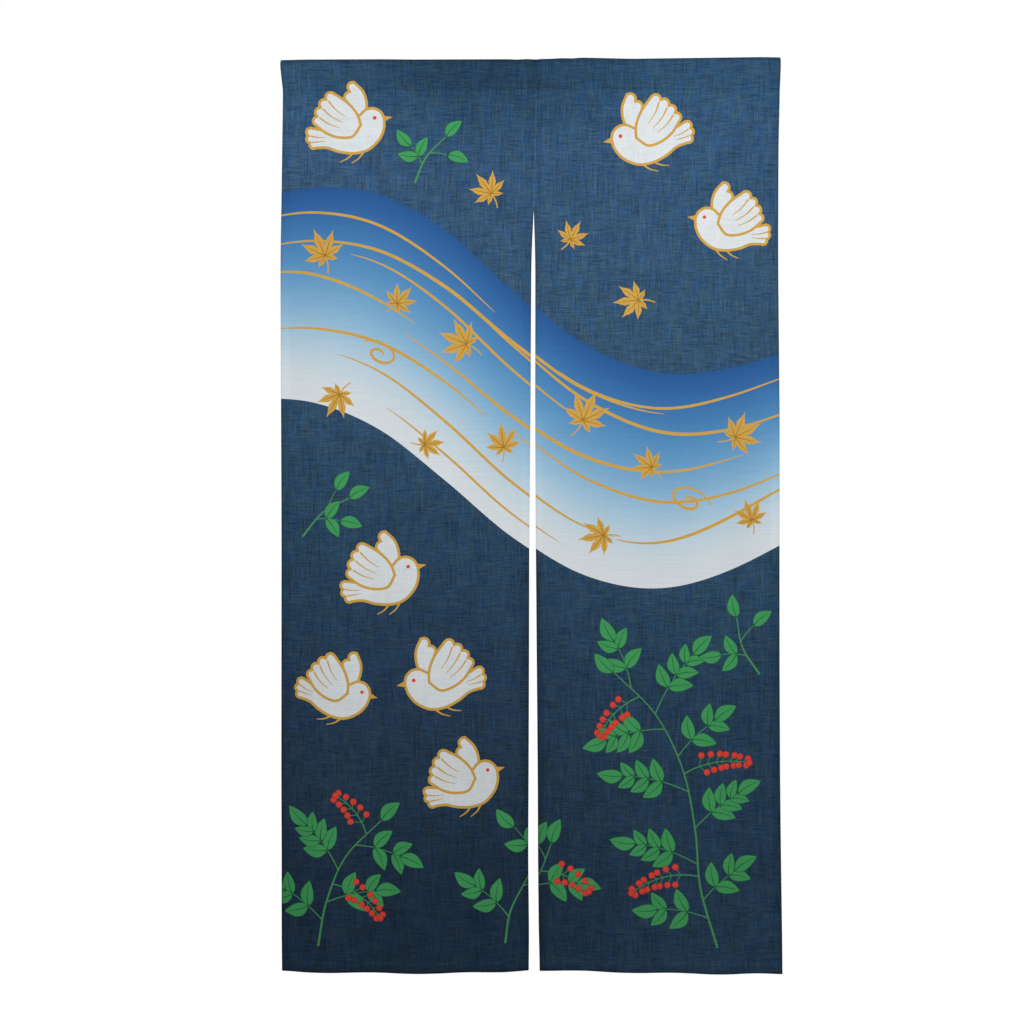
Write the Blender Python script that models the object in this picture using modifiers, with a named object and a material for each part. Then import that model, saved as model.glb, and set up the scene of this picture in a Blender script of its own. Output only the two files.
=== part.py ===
"""A noren: two hemmed cloth panels sewn together at the top, hanging from one rod pocket.

Metres, +Z up. The curtain hangs in the XZ plane and faces -Y, with +X to the right as seen from the
front. The origin is level with the highest point of the pocket's crown, above the middle of the
curtain's width. The tables below are in millimetres.
"""

import math
from collections import namedtuple

import bmesh
import bpy
import numpy as np

MM = 0.001

# Driving dimensions
DROP = 1.500  # crown of the pocket to the lowest point of the hems
POCKET_DEPTH = 0.0550  # crown of the pocket to the bottom of its stitched seam
SEAM_HEIGHT = 0.0040  # the two layers that are stitched together under the pocket
ROD_SPACE = 0.0120  # inner diameter of the pocket's rounded top
SLIT_TIP = 0.250  # crown to the top of the slit: the panels are sewn together above it
CLOTH = 0.0012  # one layer of cloth
HEM_CLOTH = 0.0020  # the cloth folded over along a panel's sides and bottom
SIDE_HEM = 0.016  # width of the side hems
BOTTOM_HEM = 0.015  # height of the bottom hem
HEM_STEP = 0.0015  # the strip in which a hem's thickness drops to that of the cloth
GAP = 0.0003  # between pieces that touch

# How finely the shapes are cut
STATIONS = 40  # lengths along the pocket
ARC_STEPS = 10  # sides of the pocket's rounded top
COLUMNS = 22  # across one panel, between its side hems
ROWS_ABOVE_TIP = 3  # down one panel, from the pocket to the level of the slit's top
ROWS_BELOW_TIP = 20  # from there to the bottom hem

# The sides of the two panels: how far right of the middle each one lies, at a depth below the crown.
# The inner sides meet along the centre seam as far down as the slit's top.
Sides = namedtuple("Sides", "depth left_outer left_inner right_inner right_outer")
SIDES = (
    Sides(55, -405.5, 8.9, 8.9, 407.3),
    Sides(136, -406.6, 7.3, 7.3, 405.1),
    Sides(250, -408.2, 4.7, 4.7, 404.6),
    Sides(330, -409.6, 0.8, 7.2, 404.4),
    Sides(590, -408.7, -0.7, 7.1, 406.8),
    Sides(790, -408.0, -2.6, 8.0, 406.5),
    Sides(985, -408.2, -2.9, 9.5, 406.6),
    Sides(1180, -408.5, -3.6, 11.1, 407.4),
    Sides(1310, -407.9, -4.3, 11.5, 408.8),
    Sides(1440, -408.0, -2.8, 12.8, 410.7),
    Sides(1500, -407.2, -3.5, 14.5, 411.3),
)

# How far the pocket's ends stand out past the panels, at a depth below the crown.
Flare = namedtuple("Flare", "depth left right")
FLARES = (
    Flare(0, 2.4, 0.6),
    Flare(12, 4.2, 1.3),
    Flare(25, 3.2, 1.0),
    Flare(55, 0.0, 0.0),
)

# How far the pocket's crown falls below its highest point, across the width.
Crown = namedtuple("Crown", "across fall")
CROWN = (
    Crown(-408, 5.2),
    Crown(-370, 4.1),
    Crown(-240, 3.5),
    Crown(-190, 4.0),
    Crown(-10, 3.5),
    Crown(35, 2.9),
    Crown(52, 1.6),
    Crown(66, 2.4),
    Crown(84, 0.9),
    Crown(165, 2.8),
    Crown(265, 1.5),
    Crown(375, 0.0),
    Crown(410, 0.6),
)

# How far a bottom edge rises above the curtain's lowest point, across the width.
Hem = namedtuple("Hem", "across rise")
LEFT_HEM = (
    Hem(-408, 5.2),
    Hem(-375, 3.6),
    Hem(-330, 2.7),
    Hem(-190, 1.2),
    Hem(-85, 2.6),
    Hem(-12, 4.6),
    Hem(-3, 5.6),
)
RIGHT_HEM = (
    Hem(14, 6.3),
    Hem(85, 4.7),
    Hem(160, 3.0),
    Hem(245, 1.4),
    Hem(315, 0.0),
    Hem(375, 0.7),
    Hem(411, 0.4),
)

# The soft folds: where each one's crest would lie at the crown and lies at the hem, how far it is
# from crest to foot, how far it stands out in front at the hem (behind, for a minus), and the depth
# at which it starts.
Fold = namedtuple("Fold", "crown_across hem_across half_width height start")
LEFT_FOLDS = (
    Fold(-395, -402, 62, -3.5, 110),
    Fold(-330, -342, 74, 6.0, 60),
    Fold(-255, -262, 66, -5.0, 160),
    Fold(-190, -178, 78, 6.5, 80),
    Fold(-118, -100, 62, -4.5, 220),
    Fold(-60, -48, 56, 4.0, 120),
    Fold(-4, -2, 48, -6.0, 250),
)
RIGHT_FOLDS = (
    Fold(12, 16, 54, 5.0, 250),
    Fold(76, 84, 64, -6.0, 130),
    Fold(150, 158, 76, 6.5, 60),
    Fold(226, 238, 64, -4.0, 200),
    Fold(290, 304, 72, 5.5, 90),
    Fold(352, 366, 56, -4.5, 150),
    Fold(404, 410, 46, 3.0, 260),
)

# A panel runs from one side to the other, and each is a column of SIDES.
Panel = namedtuple("Panel", "name left_side right_side hem folds")
PANELS = (
    Panel("left_panel", "left_outer", "left_inner", LEFT_HEM, LEFT_FOLDS),
    Panel("right_panel", "right_inner", "right_outer", RIGHT_HEM, RIGHT_FOLDS),
)

INDIGO = (0.028, 0.066, 0.118)
SHADED_INDIGO = (0.024, 0.056, 0.104)
CLOTH_ROUGHNESS = 0.85
SHARP_FROM = math.radians(50)


def smooth_step(share):
    """0 up to a share of 0, 1 from a share of 1, and level at both."""
    share = min(max(share, 0.0), 1.0)
    return share * share * (3.0 - 2.0 * share)


def column(table, name):
    """One named column of a table, in metres."""
    return [getattr(row, name) * MM for row in table]


def read_table(table, name, place, at, corner=None):
    """A column's value between its rows, rounded off at each row but not at a corner."""
    places = column(table, place)
    values = column(table, name)
    reach = 0.5 * min(b - a for a, b in zip(places, places[1:]))
    if corner is not None:
        reach = min(reach, abs(at - corner))
    around = np.linspace(at - reach, at + reach, 5)
    return float(np.mean(np.interp(around, places, values)))


def side_across(name, depth):
    """How far across a panel's side lies at a depth. Half a gap parts the sides along the seam."""
    across = read_table(SIDES, name, "depth", depth, corner=SLIT_TIP)
    half_gap = {"left_inner": -0.5 * GAP, "right_inner": 0.5 * GAP}
    return across + half_gap.get(name, 0.0)


def fold_height(across, depth, folds):
    """How far the cloth stands out in front at a point, from all the folds of its panel."""
    total = 0.0
    for fold in folds:
        start = fold.start * MM
        grown = smooth_step((depth - start) / (DROP - start))
        lean = (fold.hem_across - fold.crown_across) * depth / DROP
        from_crest = (across - (fold.crown_across + lean) * MM) / (fold.half_width * MM)
        if abs(from_crest) < 1.0:
            total += fold.height * MM * grown * 0.5 * (1.0 + math.cos(math.pi * from_crest))
    return total


def cloth_finish(name, colour):
    """A matt cloth of one colour."""
    made = bpy.data.materials.new(name)
    made.use_nodes = True
    shader = made.node_tree.nodes["Principled BSDF"]
    shader.inputs["Base Color"].default_value = (*colour, 1.0)
    shader.inputs["Roughness"].default_value = CLOTH_ROUGHNESS
    shader.inputs["Metallic"].default_value = 0.0
    return made


def add_piece(name, bm, colour, collection):
    """The mesh as a named object with its own finish."""
    mesh = bpy.data.meshes.new(name)
    bm.to_mesh(mesh)
    bm.free()
    mesh.shade_smooth()
    mesh.set_sharp_from_angle(angle=SHARP_FROM)
    mesh.materials.append(cloth_finish(name + "_cloth", colour))
    made = bpy.data.objects.new(name, mesh)
    collection.objects.link(made)
    return made


def pocket_outlines(fall):
    """The pocket's outer and inner outlines as (y, z) points, where its crown falls this far.

    The front and back walls run straight from the rounded top down to the seam, where they meet.
    """
    seam_bottom = -POCKET_DEPTH
    seam_top = seam_bottom + SEAM_HEIGHT
    inner_radius = 0.5 * ROD_SPACE
    outer_radius = inner_radius + CLOTH
    centre = -fall - outer_radius

    def rounded_top(radius, tip):
        """From the front wall over to the back wall, both aimed at a tip below."""
        past_level = math.asin(radius / (centre - tip))
        angles = np.linspace(math.pi + past_level, -past_level, ARC_STEPS + 1)
        return [(radius * math.cos(a), centre + radius * math.sin(a)) for a in angles]

    inner = rounded_top(inner_radius, seam_top) + [(0.0, seam_top)]
    outer = rounded_top(outer_radius, seam_bottom) + [
        (CLOTH, seam_top),
        (CLOTH, seam_bottom),
        (-CLOTH, seam_bottom),
        (-CLOTH, seam_top),
    ]
    return outer, inner


def cap_pocket_end(bm, rings):
    """The cut edge of the cloth at an end of the pocket, between its outlines."""
    edges = []
    for ring in rings:
        for i, vert in enumerate(ring):
            ends = (ring[i - 1], vert)
            edges.append(bm.edges.get(ends) or bm.edges.new(ends))
    bmesh.ops.triangle_fill(bm, edges=edges, use_beauty=True)


def make_heading(collection):
    """The rod pocket: cloth round a tunnel, lofted along the width and open at both ends."""
    bm = bmesh.new()
    seam_left = side_across("left_outer", POCKET_DEPTH)
    seam_width = side_across("right_outer", POCKET_DEPTH) - seam_left
    before = None
    for share in np.linspace(0.0, 1.0, STATIONS + 1):
        across = seam_left + seam_width * share
        fall = read_table(CROWN, "fall", "across", across)
        rings = []
        for outline in pocket_outlines(fall):
            ring = []
            for y, z in outline:
                left_flare = read_table(FLARES, "left", "depth", -z)
                right_flare = read_table(FLARES, "right", "depth", -z)
                moved = across - left_flare * (1.0 - share) + right_flare * share
                ring.append(bm.verts.new((moved, y, z)))
            rings.append(ring)
        if before is None:
            cap_pocket_end(bm, rings)
        else:
            for old, new in zip(before, rings):
                for i in range(len(old)):
                    bm.faces.new((old[i - 1], old[i], new[i], new[i - 1]))
        before = rings
    cap_pocket_end(bm, before)
    bmesh.ops.recalc_face_normals(bm, faces=bm.faces)
    return add_piece("heading", bm, SHADED_INDIGO, collection)


def hem_cuts(start, end):
    """The two cuts at the inner line of a hem, between which its thickness drops to the cloth's."""
    return [start, start + math.copysign(HEM_STEP, end - start)]


def make_panel(panel, collection):
    """One hemmed panel: a grid laid along its sides, bottom edge and folds, then given thickness."""
    width = (LEFT_HEM[-1].across - LEFT_HEM[0].across) * MM
    drop = DROP - POCKET_DEPTH
    left_hem = hem_cuts(SIDE_HEM, width)
    right_hem = hem_cuts(width - SIDE_HEM, 0.0)
    bottom_hem = hem_cuts(drop - BOTTOM_HEM, 0.0)
    tip = SLIT_TIP - POCKET_DEPTH
    between = np.linspace(left_hem[1], right_hem[1], COLUMNS + 1)
    across_cuts = np.array([0.0, left_hem[0], *between, right_hem[0], width]) / width
    above = np.linspace(0.0, tip, ROWS_ABOVE_TIP + 1)
    below = np.linspace(tip, bottom_hem[1], ROWS_BELOW_TIP + 1)[1:]
    down_cuts = np.array([*above, *below, bottom_hem[0], drop]) / drop
    last_column = len(across_cuts) - 1
    last_row = len(down_cuts) - 1

    bm = bmesh.new()
    bmesh.ops.create_grid(bm, x_segments=last_column, y_segments=last_row, size=0.5)
    weights = bm.verts.layers.deform.verify()
    for vert in bm.verts:
        column_at = round((0.5 + vert.co.x) * last_column)
        row_at = round((0.5 - vert.co.y) * last_row)
        depth = POCKET_DEPTH + drop * down_cuts[row_at]
        left = side_across(panel.left_side, depth)
        right = side_across(panel.right_side, depth)
        across = left + (right - left) * across_cuts[column_at]
        rise = read_table(panel.hem, "rise", "across", across) * down_cuts[row_at]
        top_gap = GAP if row_at == 0 else 0.0
        out = 0.5 * CLOTH + fold_height(across, depth, panel.folds)
        vert.co = (across, -out, rise - depth - top_gap)
        in_side_hem = column_at in (0, 1, last_column - 1, last_column)
        in_bottom_hem = row_at in (last_row - 1, last_row)
        vert[weights][0] = 1.0 if in_side_hem or in_bottom_hem else 0.0
    made = add_piece(panel.name, bm, INDIGO, collection)

    hems = made.vertex_groups.new(name="hems")
    thicken = made.modifiers.new("cloth", "SOLIDIFY")
    thicken.thickness = HEM_CLOTH
    thicken.offset = -1.0  # to the back: the grid is the front of the cloth
    thicken.vertex_group = hems.name
    thicken.thickness_vertex_group = CLOTH / HEM_CLOTH
    return made


def main():
    for old in list(bpy.data.objects):
        bpy.data.objects.remove(old)
    curtain = bpy.data.collections.new("noren")
    bpy.context.scene.collection.children.link(curtain)
    make_heading(curtain)
    for panel in PANELS:
        make_panel(panel, curtain)


main()
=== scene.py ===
"""The looks of a noren door curtain: printed, hemmed cloth panels that hang from one rod pocket.

Metres, +Z up, and a length that is in millimetres is said to be in mm. The curtain hangs in the XZ
plane, its printed face turned to -Y, and +X is to the right as seen from the front. Two measures lie
in the cloth itself: "over" is how far right a point lies, of the centre seam for the print and of a
panel's left side for the panel, and "down" how far below the crown of the pocket. Down is negative
where the cloth has passed over the crown to the back.
"""

import logging
import math
from dataclasses import dataclass, field
from enum import Enum
from functools import cached_property, partial
from typing import NamedTuple

import bmesh
import bpy
import numpy as np
from mathutils import Matrix, Vector
from mathutils.geometry import delaunay_2d_cdt

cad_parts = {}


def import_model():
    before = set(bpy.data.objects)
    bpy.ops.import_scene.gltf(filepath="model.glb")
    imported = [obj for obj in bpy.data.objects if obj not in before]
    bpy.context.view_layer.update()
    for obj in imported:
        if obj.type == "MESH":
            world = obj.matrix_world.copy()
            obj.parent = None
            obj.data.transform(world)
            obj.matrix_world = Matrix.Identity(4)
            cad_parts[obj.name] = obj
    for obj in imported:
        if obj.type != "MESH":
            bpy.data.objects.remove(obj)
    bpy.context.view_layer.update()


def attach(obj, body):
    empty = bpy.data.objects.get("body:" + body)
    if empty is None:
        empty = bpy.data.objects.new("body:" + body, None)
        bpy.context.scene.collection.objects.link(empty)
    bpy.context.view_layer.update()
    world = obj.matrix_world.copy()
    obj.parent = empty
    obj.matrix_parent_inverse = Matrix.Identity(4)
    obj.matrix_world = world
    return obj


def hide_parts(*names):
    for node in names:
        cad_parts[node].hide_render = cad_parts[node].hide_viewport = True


LOG = logging.getLogger("noren")
MM = 0.001
BODY = "root"
Point = tuple[float, float]
Colour = tuple[float, float, float]
Socket = bpy.types.NodeSocket
Array = np.ndarray


# ---- Small tools ----


def eased(share: Array) -> Array:
    """A smooth step: 0 up to a share of 0, 1 from a share of 1, and level at both."""
    share = np.clip(share, 0.0, 1.0)
    return share * share * (3.0 - 2.0 * share)


def linear(red: int, green: int, blue: int) -> Colour:
    """The linear colour of an 8-bit display colour."""
    shares = (c / 255.0 for c in (red, green, blue))
    return tuple(c / 12.92 if c <= 0.04045 else ((c + 0.055) / 1.055) ** 2.4 for c in shares)


def unit(vectors: Array) -> Array:
    """Vectors in the last axis, made one long."""
    return vectors / np.maximum(np.linalg.norm(vectors, axis=-1, keepdims=True), 1e-12)


def near(distance: Array, reach: float) -> Array:
    """A soft bell: 1 at no distance, about a third at the reach and next to nothing at twice the reach."""
    return np.exp(-((distance / reach) ** 2))


def between(low: float, high: float, share: Array) -> Array:
    """The value that lies a share of the way from low to high."""
    return low + (high - low) * share


def new_object(name: str, data: bpy.types.ID) -> bpy.types.Object:
    """Puts a mesh, lamp or camera into the scene.

    Args:
        name: the new object's name.
        data: what it shows.

    Returns:
        The object.
    """
    made = bpy.data.objects.new(name, data)
    bpy.context.scene.collection.objects.link(made)
    return made


def rows_of(kind: type, *rows: tuple) -> tuple:
    """A table of rows of one kind."""
    return tuple(kind(*row) for row in rows)


def smooth_line(points: list[Point], spans: int = 8) -> Array:
    """A smooth curve through given points.

    Args:
        points: the points that it passes through, in order.
        spans: the short straight lengths between one point and the next.

    Returns:
        The points along the curve, one row each.
    """
    given = np.array(points, float)
    ends = np.vstack([2 * given[0] - given[1], given, 2 * given[-1] - given[-2]])
    made = []
    for before, start, end, after in zip(ends, ends[1:], ends[2:], ends[3:]):
        for share in np.arange(spans) / spans:
            made.append(
                0.5
                * (
                    2 * start
                    + (end - before) * share
                    + (2 * before - 5 * start + 4 * end - after) * share**2
                    + (3 * start - before - 3 * end + after) * share**3
                )
            )
    return np.array(made + [given[-1]])


def closed_outline(runs: list[list[Point]], spans: int = 6) -> Array:
    """An outline of smooth runs, each one ending on the sharp corner where the next one starts."""
    return np.vstack([smooth_line(run, spans)[:-1] for run in runs])


def scallop(start: Point, end: Point) -> list[Point]:
    """A run that bulges to the right of the way from start to end, as a feather's rounded tip does.

    Args:
        start: the corner where it starts.
        end: the corner where it ends.

    Returns:
        The points that the run passes through.
    """
    ahead, aside = 0.5 * (end[0] - start[0]), 0.5 * (end[1] - start[1])
    bulges = ((-0.62, 0.52), (0.0, 0.74), (0.62, 0.52))
    middle = (start[0] + ahead, start[1] + aside)
    crown = [(middle[0] + a * ahead + b * aside, middle[1] + a * aside - b * ahead) for a, b in bulges]
    return [start, *crown, end]


def scallops(corners: list[Point]) -> list[list[Point]]:
    """Such runs from corner to corner."""
    return [scallop(start, end) for start, end in zip(corners, corners[1:])]


def xy(first: Array, second: Array) -> Array:
    """Two rows of numbers as points, one row each."""
    return np.stack([first, second], axis=1)


def upward(angle: float) -> Array:
    """The direction at an angle to the right of straight up, in degrees."""
    return np.array([math.sin(math.radians(angle)), math.cos(math.radians(angle))])


def circle(count: int) -> Array:
    """Points round a circle of radius one."""
    around = np.linspace(0.0, 2.0 * math.pi, count, endpoint=False)
    return xy(np.cos(around), np.sin(around))


def across_line(line: Array) -> Array:
    """The direction square to a line at each of its points."""
    along = np.gradient(line, axis=0)
    return unit(xy(-along[:, 1], along[:, 0]))


def stroke(line: Array, widths: Array | float) -> Array:
    """The outline of a brush stroke along a line, of one width or of one for each point."""
    aside = across_line(line) * 0.5 * np.broadcast_to(widths, len(line))[:, None]
    return np.vstack([line + aside, (line - aside)[::-1]])


def widened(outline: Array, by: float) -> Array:
    """A closed outline moved outwards, or inwards for a minus.

    Args:
        outline: its points in order, either way round.
        by: how far each side moves.

    Returns:
        The moved points.
    """
    before = unit(outline - np.roll(outline, 1, axis=0))
    after = unit(np.roll(outline, -1, axis=0) - outline)
    sides = [xy(d[:, 1], -d[:, 0]) for d in (before, after)]
    middle = unit(sides[0] + sides[1])
    reach = 1.0 / np.clip((middle * sides[0]).sum(1), 0.55, 1.0)
    x, y = outline.T
    turn = np.sign((x * np.roll(y, -1) - y * np.roll(x, -1)).sum())
    return outline + middle * (by * turn * reach)[:, None]


def placed(points: Array, at: Point, size: float, turn: float, flip: bool) -> Array:
    """A motif's points on the cloth.

    Args:
        points: the points in the motif's own measure, y up.
        at: where its middle lies, over and down.
        size: how many millimetres one unit is.
        turn: how far it is turned to the left, in degrees.
        flip: whether it is mirrored from left to right first.

    Returns:
        The points over and down.
    """
    x, y = points.T
    x = -x if flip else x
    cos, sin = math.cos(math.radians(turn)), math.sin(math.radians(turn))
    return xy(at[0] + size * (x * cos - y * sin), at[1] - size * (x * sin + y * cos))


def inside(points: Array, outline: Array) -> Array:
    """Which points lie within a closed outline.

    Args:
        points: the points to test.
        outline: the outline's points in order.

    Returns:
        True for each point within.
    """
    x, y = points[:, 0][:, None], points[:, 1][:, None]
    x0, y0 = outline.T
    x1, y1 = np.roll(outline, -1, axis=0).T
    up = (y0 <= y) & (y1 > y)
    falling = (y1 <= y) & (y0 > y)
    side = (x1 - x0) * (y - y0) - (x - x0) * (y1 - y0)
    return ((up & (side > 0)).sum(1) - (falling & (side < 0)).sum(1)) != 0


# ---- The shape in which the curtain hangs, as in the frame's own solids ----


class SideRow(NamedTuple):
    """How far right of the middle each panel's sides lie at a depth below the crown, in mm."""

    depth: float
    left_outer: float
    left_inner: float
    right_inner: float
    right_outer: float


class FlareRow(NamedTuple):
    """How far the pocket's ends stand out past the panels at a depth, in mm."""

    depth: float
    left: float
    right: float


class EdgeRow(NamedTuple):
    """How far an edge of the cloth is off level at a place across the width, in mm."""

    across: float
    off: float


class FoldRow(NamedTuple):
    """One soft fold: its crest at the crown and at the hem, its half width, height and start, in mm."""

    crown_across: float
    hem_across: float
    half_width: float
    height: float
    start: float


SIDES = rows_of(
    SideRow,
    (55, -405.5, 8.9, 8.9, 407.3),
    (136, -406.6, 7.3, 7.3, 405.1),
    (250, -408.2, 4.7, 4.7, 404.6),
    (330, -409.6, 0.8, 7.2, 404.4),
    (590, -408.7, -0.7, 7.1, 406.8),
    (790, -408.0, -2.6, 8.0, 406.5),
    (985, -408.2, -2.9, 9.5, 406.6),
    (1180, -408.5, -3.6, 11.1, 407.4),
    (1310, -407.9, -4.3, 11.5, 408.8),
    (1440, -408.0, -2.8, 12.8, 410.7),
    (1500, -407.2, -3.5, 14.5, 411.3),
)
FLARES = (FlareRow(0, 2.4, 0.6), FlareRow(12, 4.2, 1.3), FlareRow(25, 3.2, 1.0), FlareRow(55, 0, 0))
CROWN = rows_of(
    EdgeRow,
    (-408, 5.2), (-370, 4.1), (-240, 3.5), (-190, 4.0), (-31, 3.5), (-22, 4.5), (-12, 3.4),
    (0, 3.3), (9, 4.2), (18, 3.1), (35, 2.9), (52, 1.6), (66, 2.4), (84, 0.9), (165, 2.8),
    (265, 1.5), (375, 0.0), (410, 0.6),
)
LEFT_HEM = rows_of(
    EdgeRow,
    (-408, 5.2), (-375, 3.6), (-330, 2.7), (-190, 1.2), (-85, 2.6), (-12, 4.6), (-3, 5.6),
)
RIGHT_HEM = rows_of(
    EdgeRow,
    (14, 6.3), (85, 4.7), (160, 3.0), (245, 1.4), (315, 0.0), (375, 0.7), (411, 0.4),
)
LEFT_FOLDS = rows_of(
    FoldRow,
    (-395, -402, 62, -3.5, 110),
    (-330, -342, 74, 6.0, 60),
    (-255, -262, 66, -5.0, 160),
    (-190, -178, 78, 6.5, 80),
    (-118, -100, 62, -4.5, 220),
    (-60, -48, 56, 4.0, 120),
    (-4, -2, 48, -6.0, 250),
)
RIGHT_FOLDS = rows_of(
    FoldRow,
    (12, 16, 54, 5.0, 250),
    (76, 84, 64, -6.0, 130),
    (150, 158, 76, 6.5, 60),
    (226, 238, 64, -4.0, 200),
    (290, 304, 72, 5.5, 90),
    (352, 366, 56, -4.5, 150),
    (404, 410, 46, 3.0, 260),
)

DROP = 1500.0 * MM  # crown of the pocket to the lowest point of the hems
SEAM_DEPTH = 55.0 * MM  # crown to the bottom of the pocket's seam
STITCH_DEPTH = 53.0 * MM  # crown to the stitches that close the pocket
SLIT_TIP = 250.0 * MM  # crown to the top of the slit
CLOTH = 0.40 * MM  # the printed cloth is this thick
FRONT_FACE = 0.60 * MM  # the flat cloth's front lies this far in front of the middle plane
POCKET_RADIUS = 7.2 * MM  # outer radius of the pocket's rounded top
TURN_BACK = 8.0 * MM  # the cloth behind, below the stitches of the pocket
WIDE_HEM = 15.5 * MM
NARROW_HEM = 11.0 * MM  # of the right panel, at the slit
BOTTOM_HEM = 15.0 * MM
HEM_RADIUS = 0.45 * MM  # of a single fold, at the middle of the cloth's thickness
EDGE = HEM_RADIUS + 0.5 * CLOTH  # of a single fold, outside
HEM_STEP = 0.16 * MM  # how far the doubled cloth of the side hems stands out
BOTTOM_ARC_START = 1.6 * MM  # how far above the lowest line the bottom fold starts
BOTTOM_ARC = 3.0 * MM  # the cloth that goes round the bottom fold
FOOT_EASE = 10.0 * MM  # above the bottom fold, the length that takes up the layers' thickness
CROWN_EASE = 4.0 * MM  # from the crown, the length in which the small waves set in
SEAM_PRESS = 0.22 * MM  # how far each panel is pressed into the other one along the centre seam
SEAM_END = 12.0 * MM  # above the slit's tip, the length in which that pressing eases off
STACK_START = 18.0 * MM  # from a panel's side, how far the hems' layers lie at their thickest
STACK_END = 45.0 * MM  # from a panel's side, where they no longer push the cloth apart


def read_rows(
    rows: tuple, name: str, place: str, at: Array, corner: float | None = None
) -> Array:
    """One column of a table between its rows, rounded off at each row but not at a corner.

    Args:
        rows: the table's rows, in millimetres.
        name: the column that is read.
        place: the column that says where each row lies.
        at: where it is read.
        corner: a place where the value may turn sharply.

    Returns:
        The values in metres.
    """
    places = np.array([getattr(row, place) for row in rows]) * MM
    values = np.array([getattr(row, name) for row in rows]) * MM
    reach = np.full(np.shape(at), 0.5 * np.diff(places).min())
    if corner is not None:
        reach = np.minimum(reach, np.abs(at - corner))
    steps = (-1.0, -0.5, 0.0, 0.5, 1.0)
    return sum(np.interp(at + step * reach, places, values) for step in steps) / len(steps)


class Pucker(NamedTuple):
    """A small wrinkle: where it lies across and down, how wide and long it is, and its height, in mm."""

    across: float
    down: float
    width: float
    length: float
    height: float


PUCKERS = rows_of(
    Pucker,
    (-24.0, 14.0, 5.0, 30.0, 0.9),
    (2.0, 22.0, 5.5, 34.0, -0.9),
    (20.0, 12.0, 4.5, 26.0, 0.9),
    (60.0, 10.0, 7.0, 22.0, 0.7),
    (86.0, 16.0, 8.0, 30.0, -0.6),
    (-186.0, 12.0, 9.0, 24.0, -0.5),
    (262.0, 14.0, 10.0, 28.0, -0.5),
    (-388.0, 20.0, 9.0, 34.0, 0.7),
    (392.0, 22.0, 8.0, 34.0, -0.6),
    (-3.0, 262.0, 9.0, 60.0, 0.5),
    (14.0, 268.0, 9.0, 70.0, -0.5),
)


class Ripple(NamedTuple):
    """Small waves along a line of sewing or an edge: their height and how far they reach, in mm."""

    height: float
    reach: float

    def at(self, distance: Array) -> Array:
        """Their height at a distance from the line, both in metres."""
        return self.height * MM * near(distance, self.reach * MM)


HEM_RIPPLE = Ripple(0.10, 13.0)
STITCH_RIPPLE = Ripple(0.07, 7.0)
FOOT_RIPPLE = Ripple(0.12, 16.0)
GROOVE = Ripple(0.22, 1.3)  # that the pocket's stitches press into it from both sides


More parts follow.
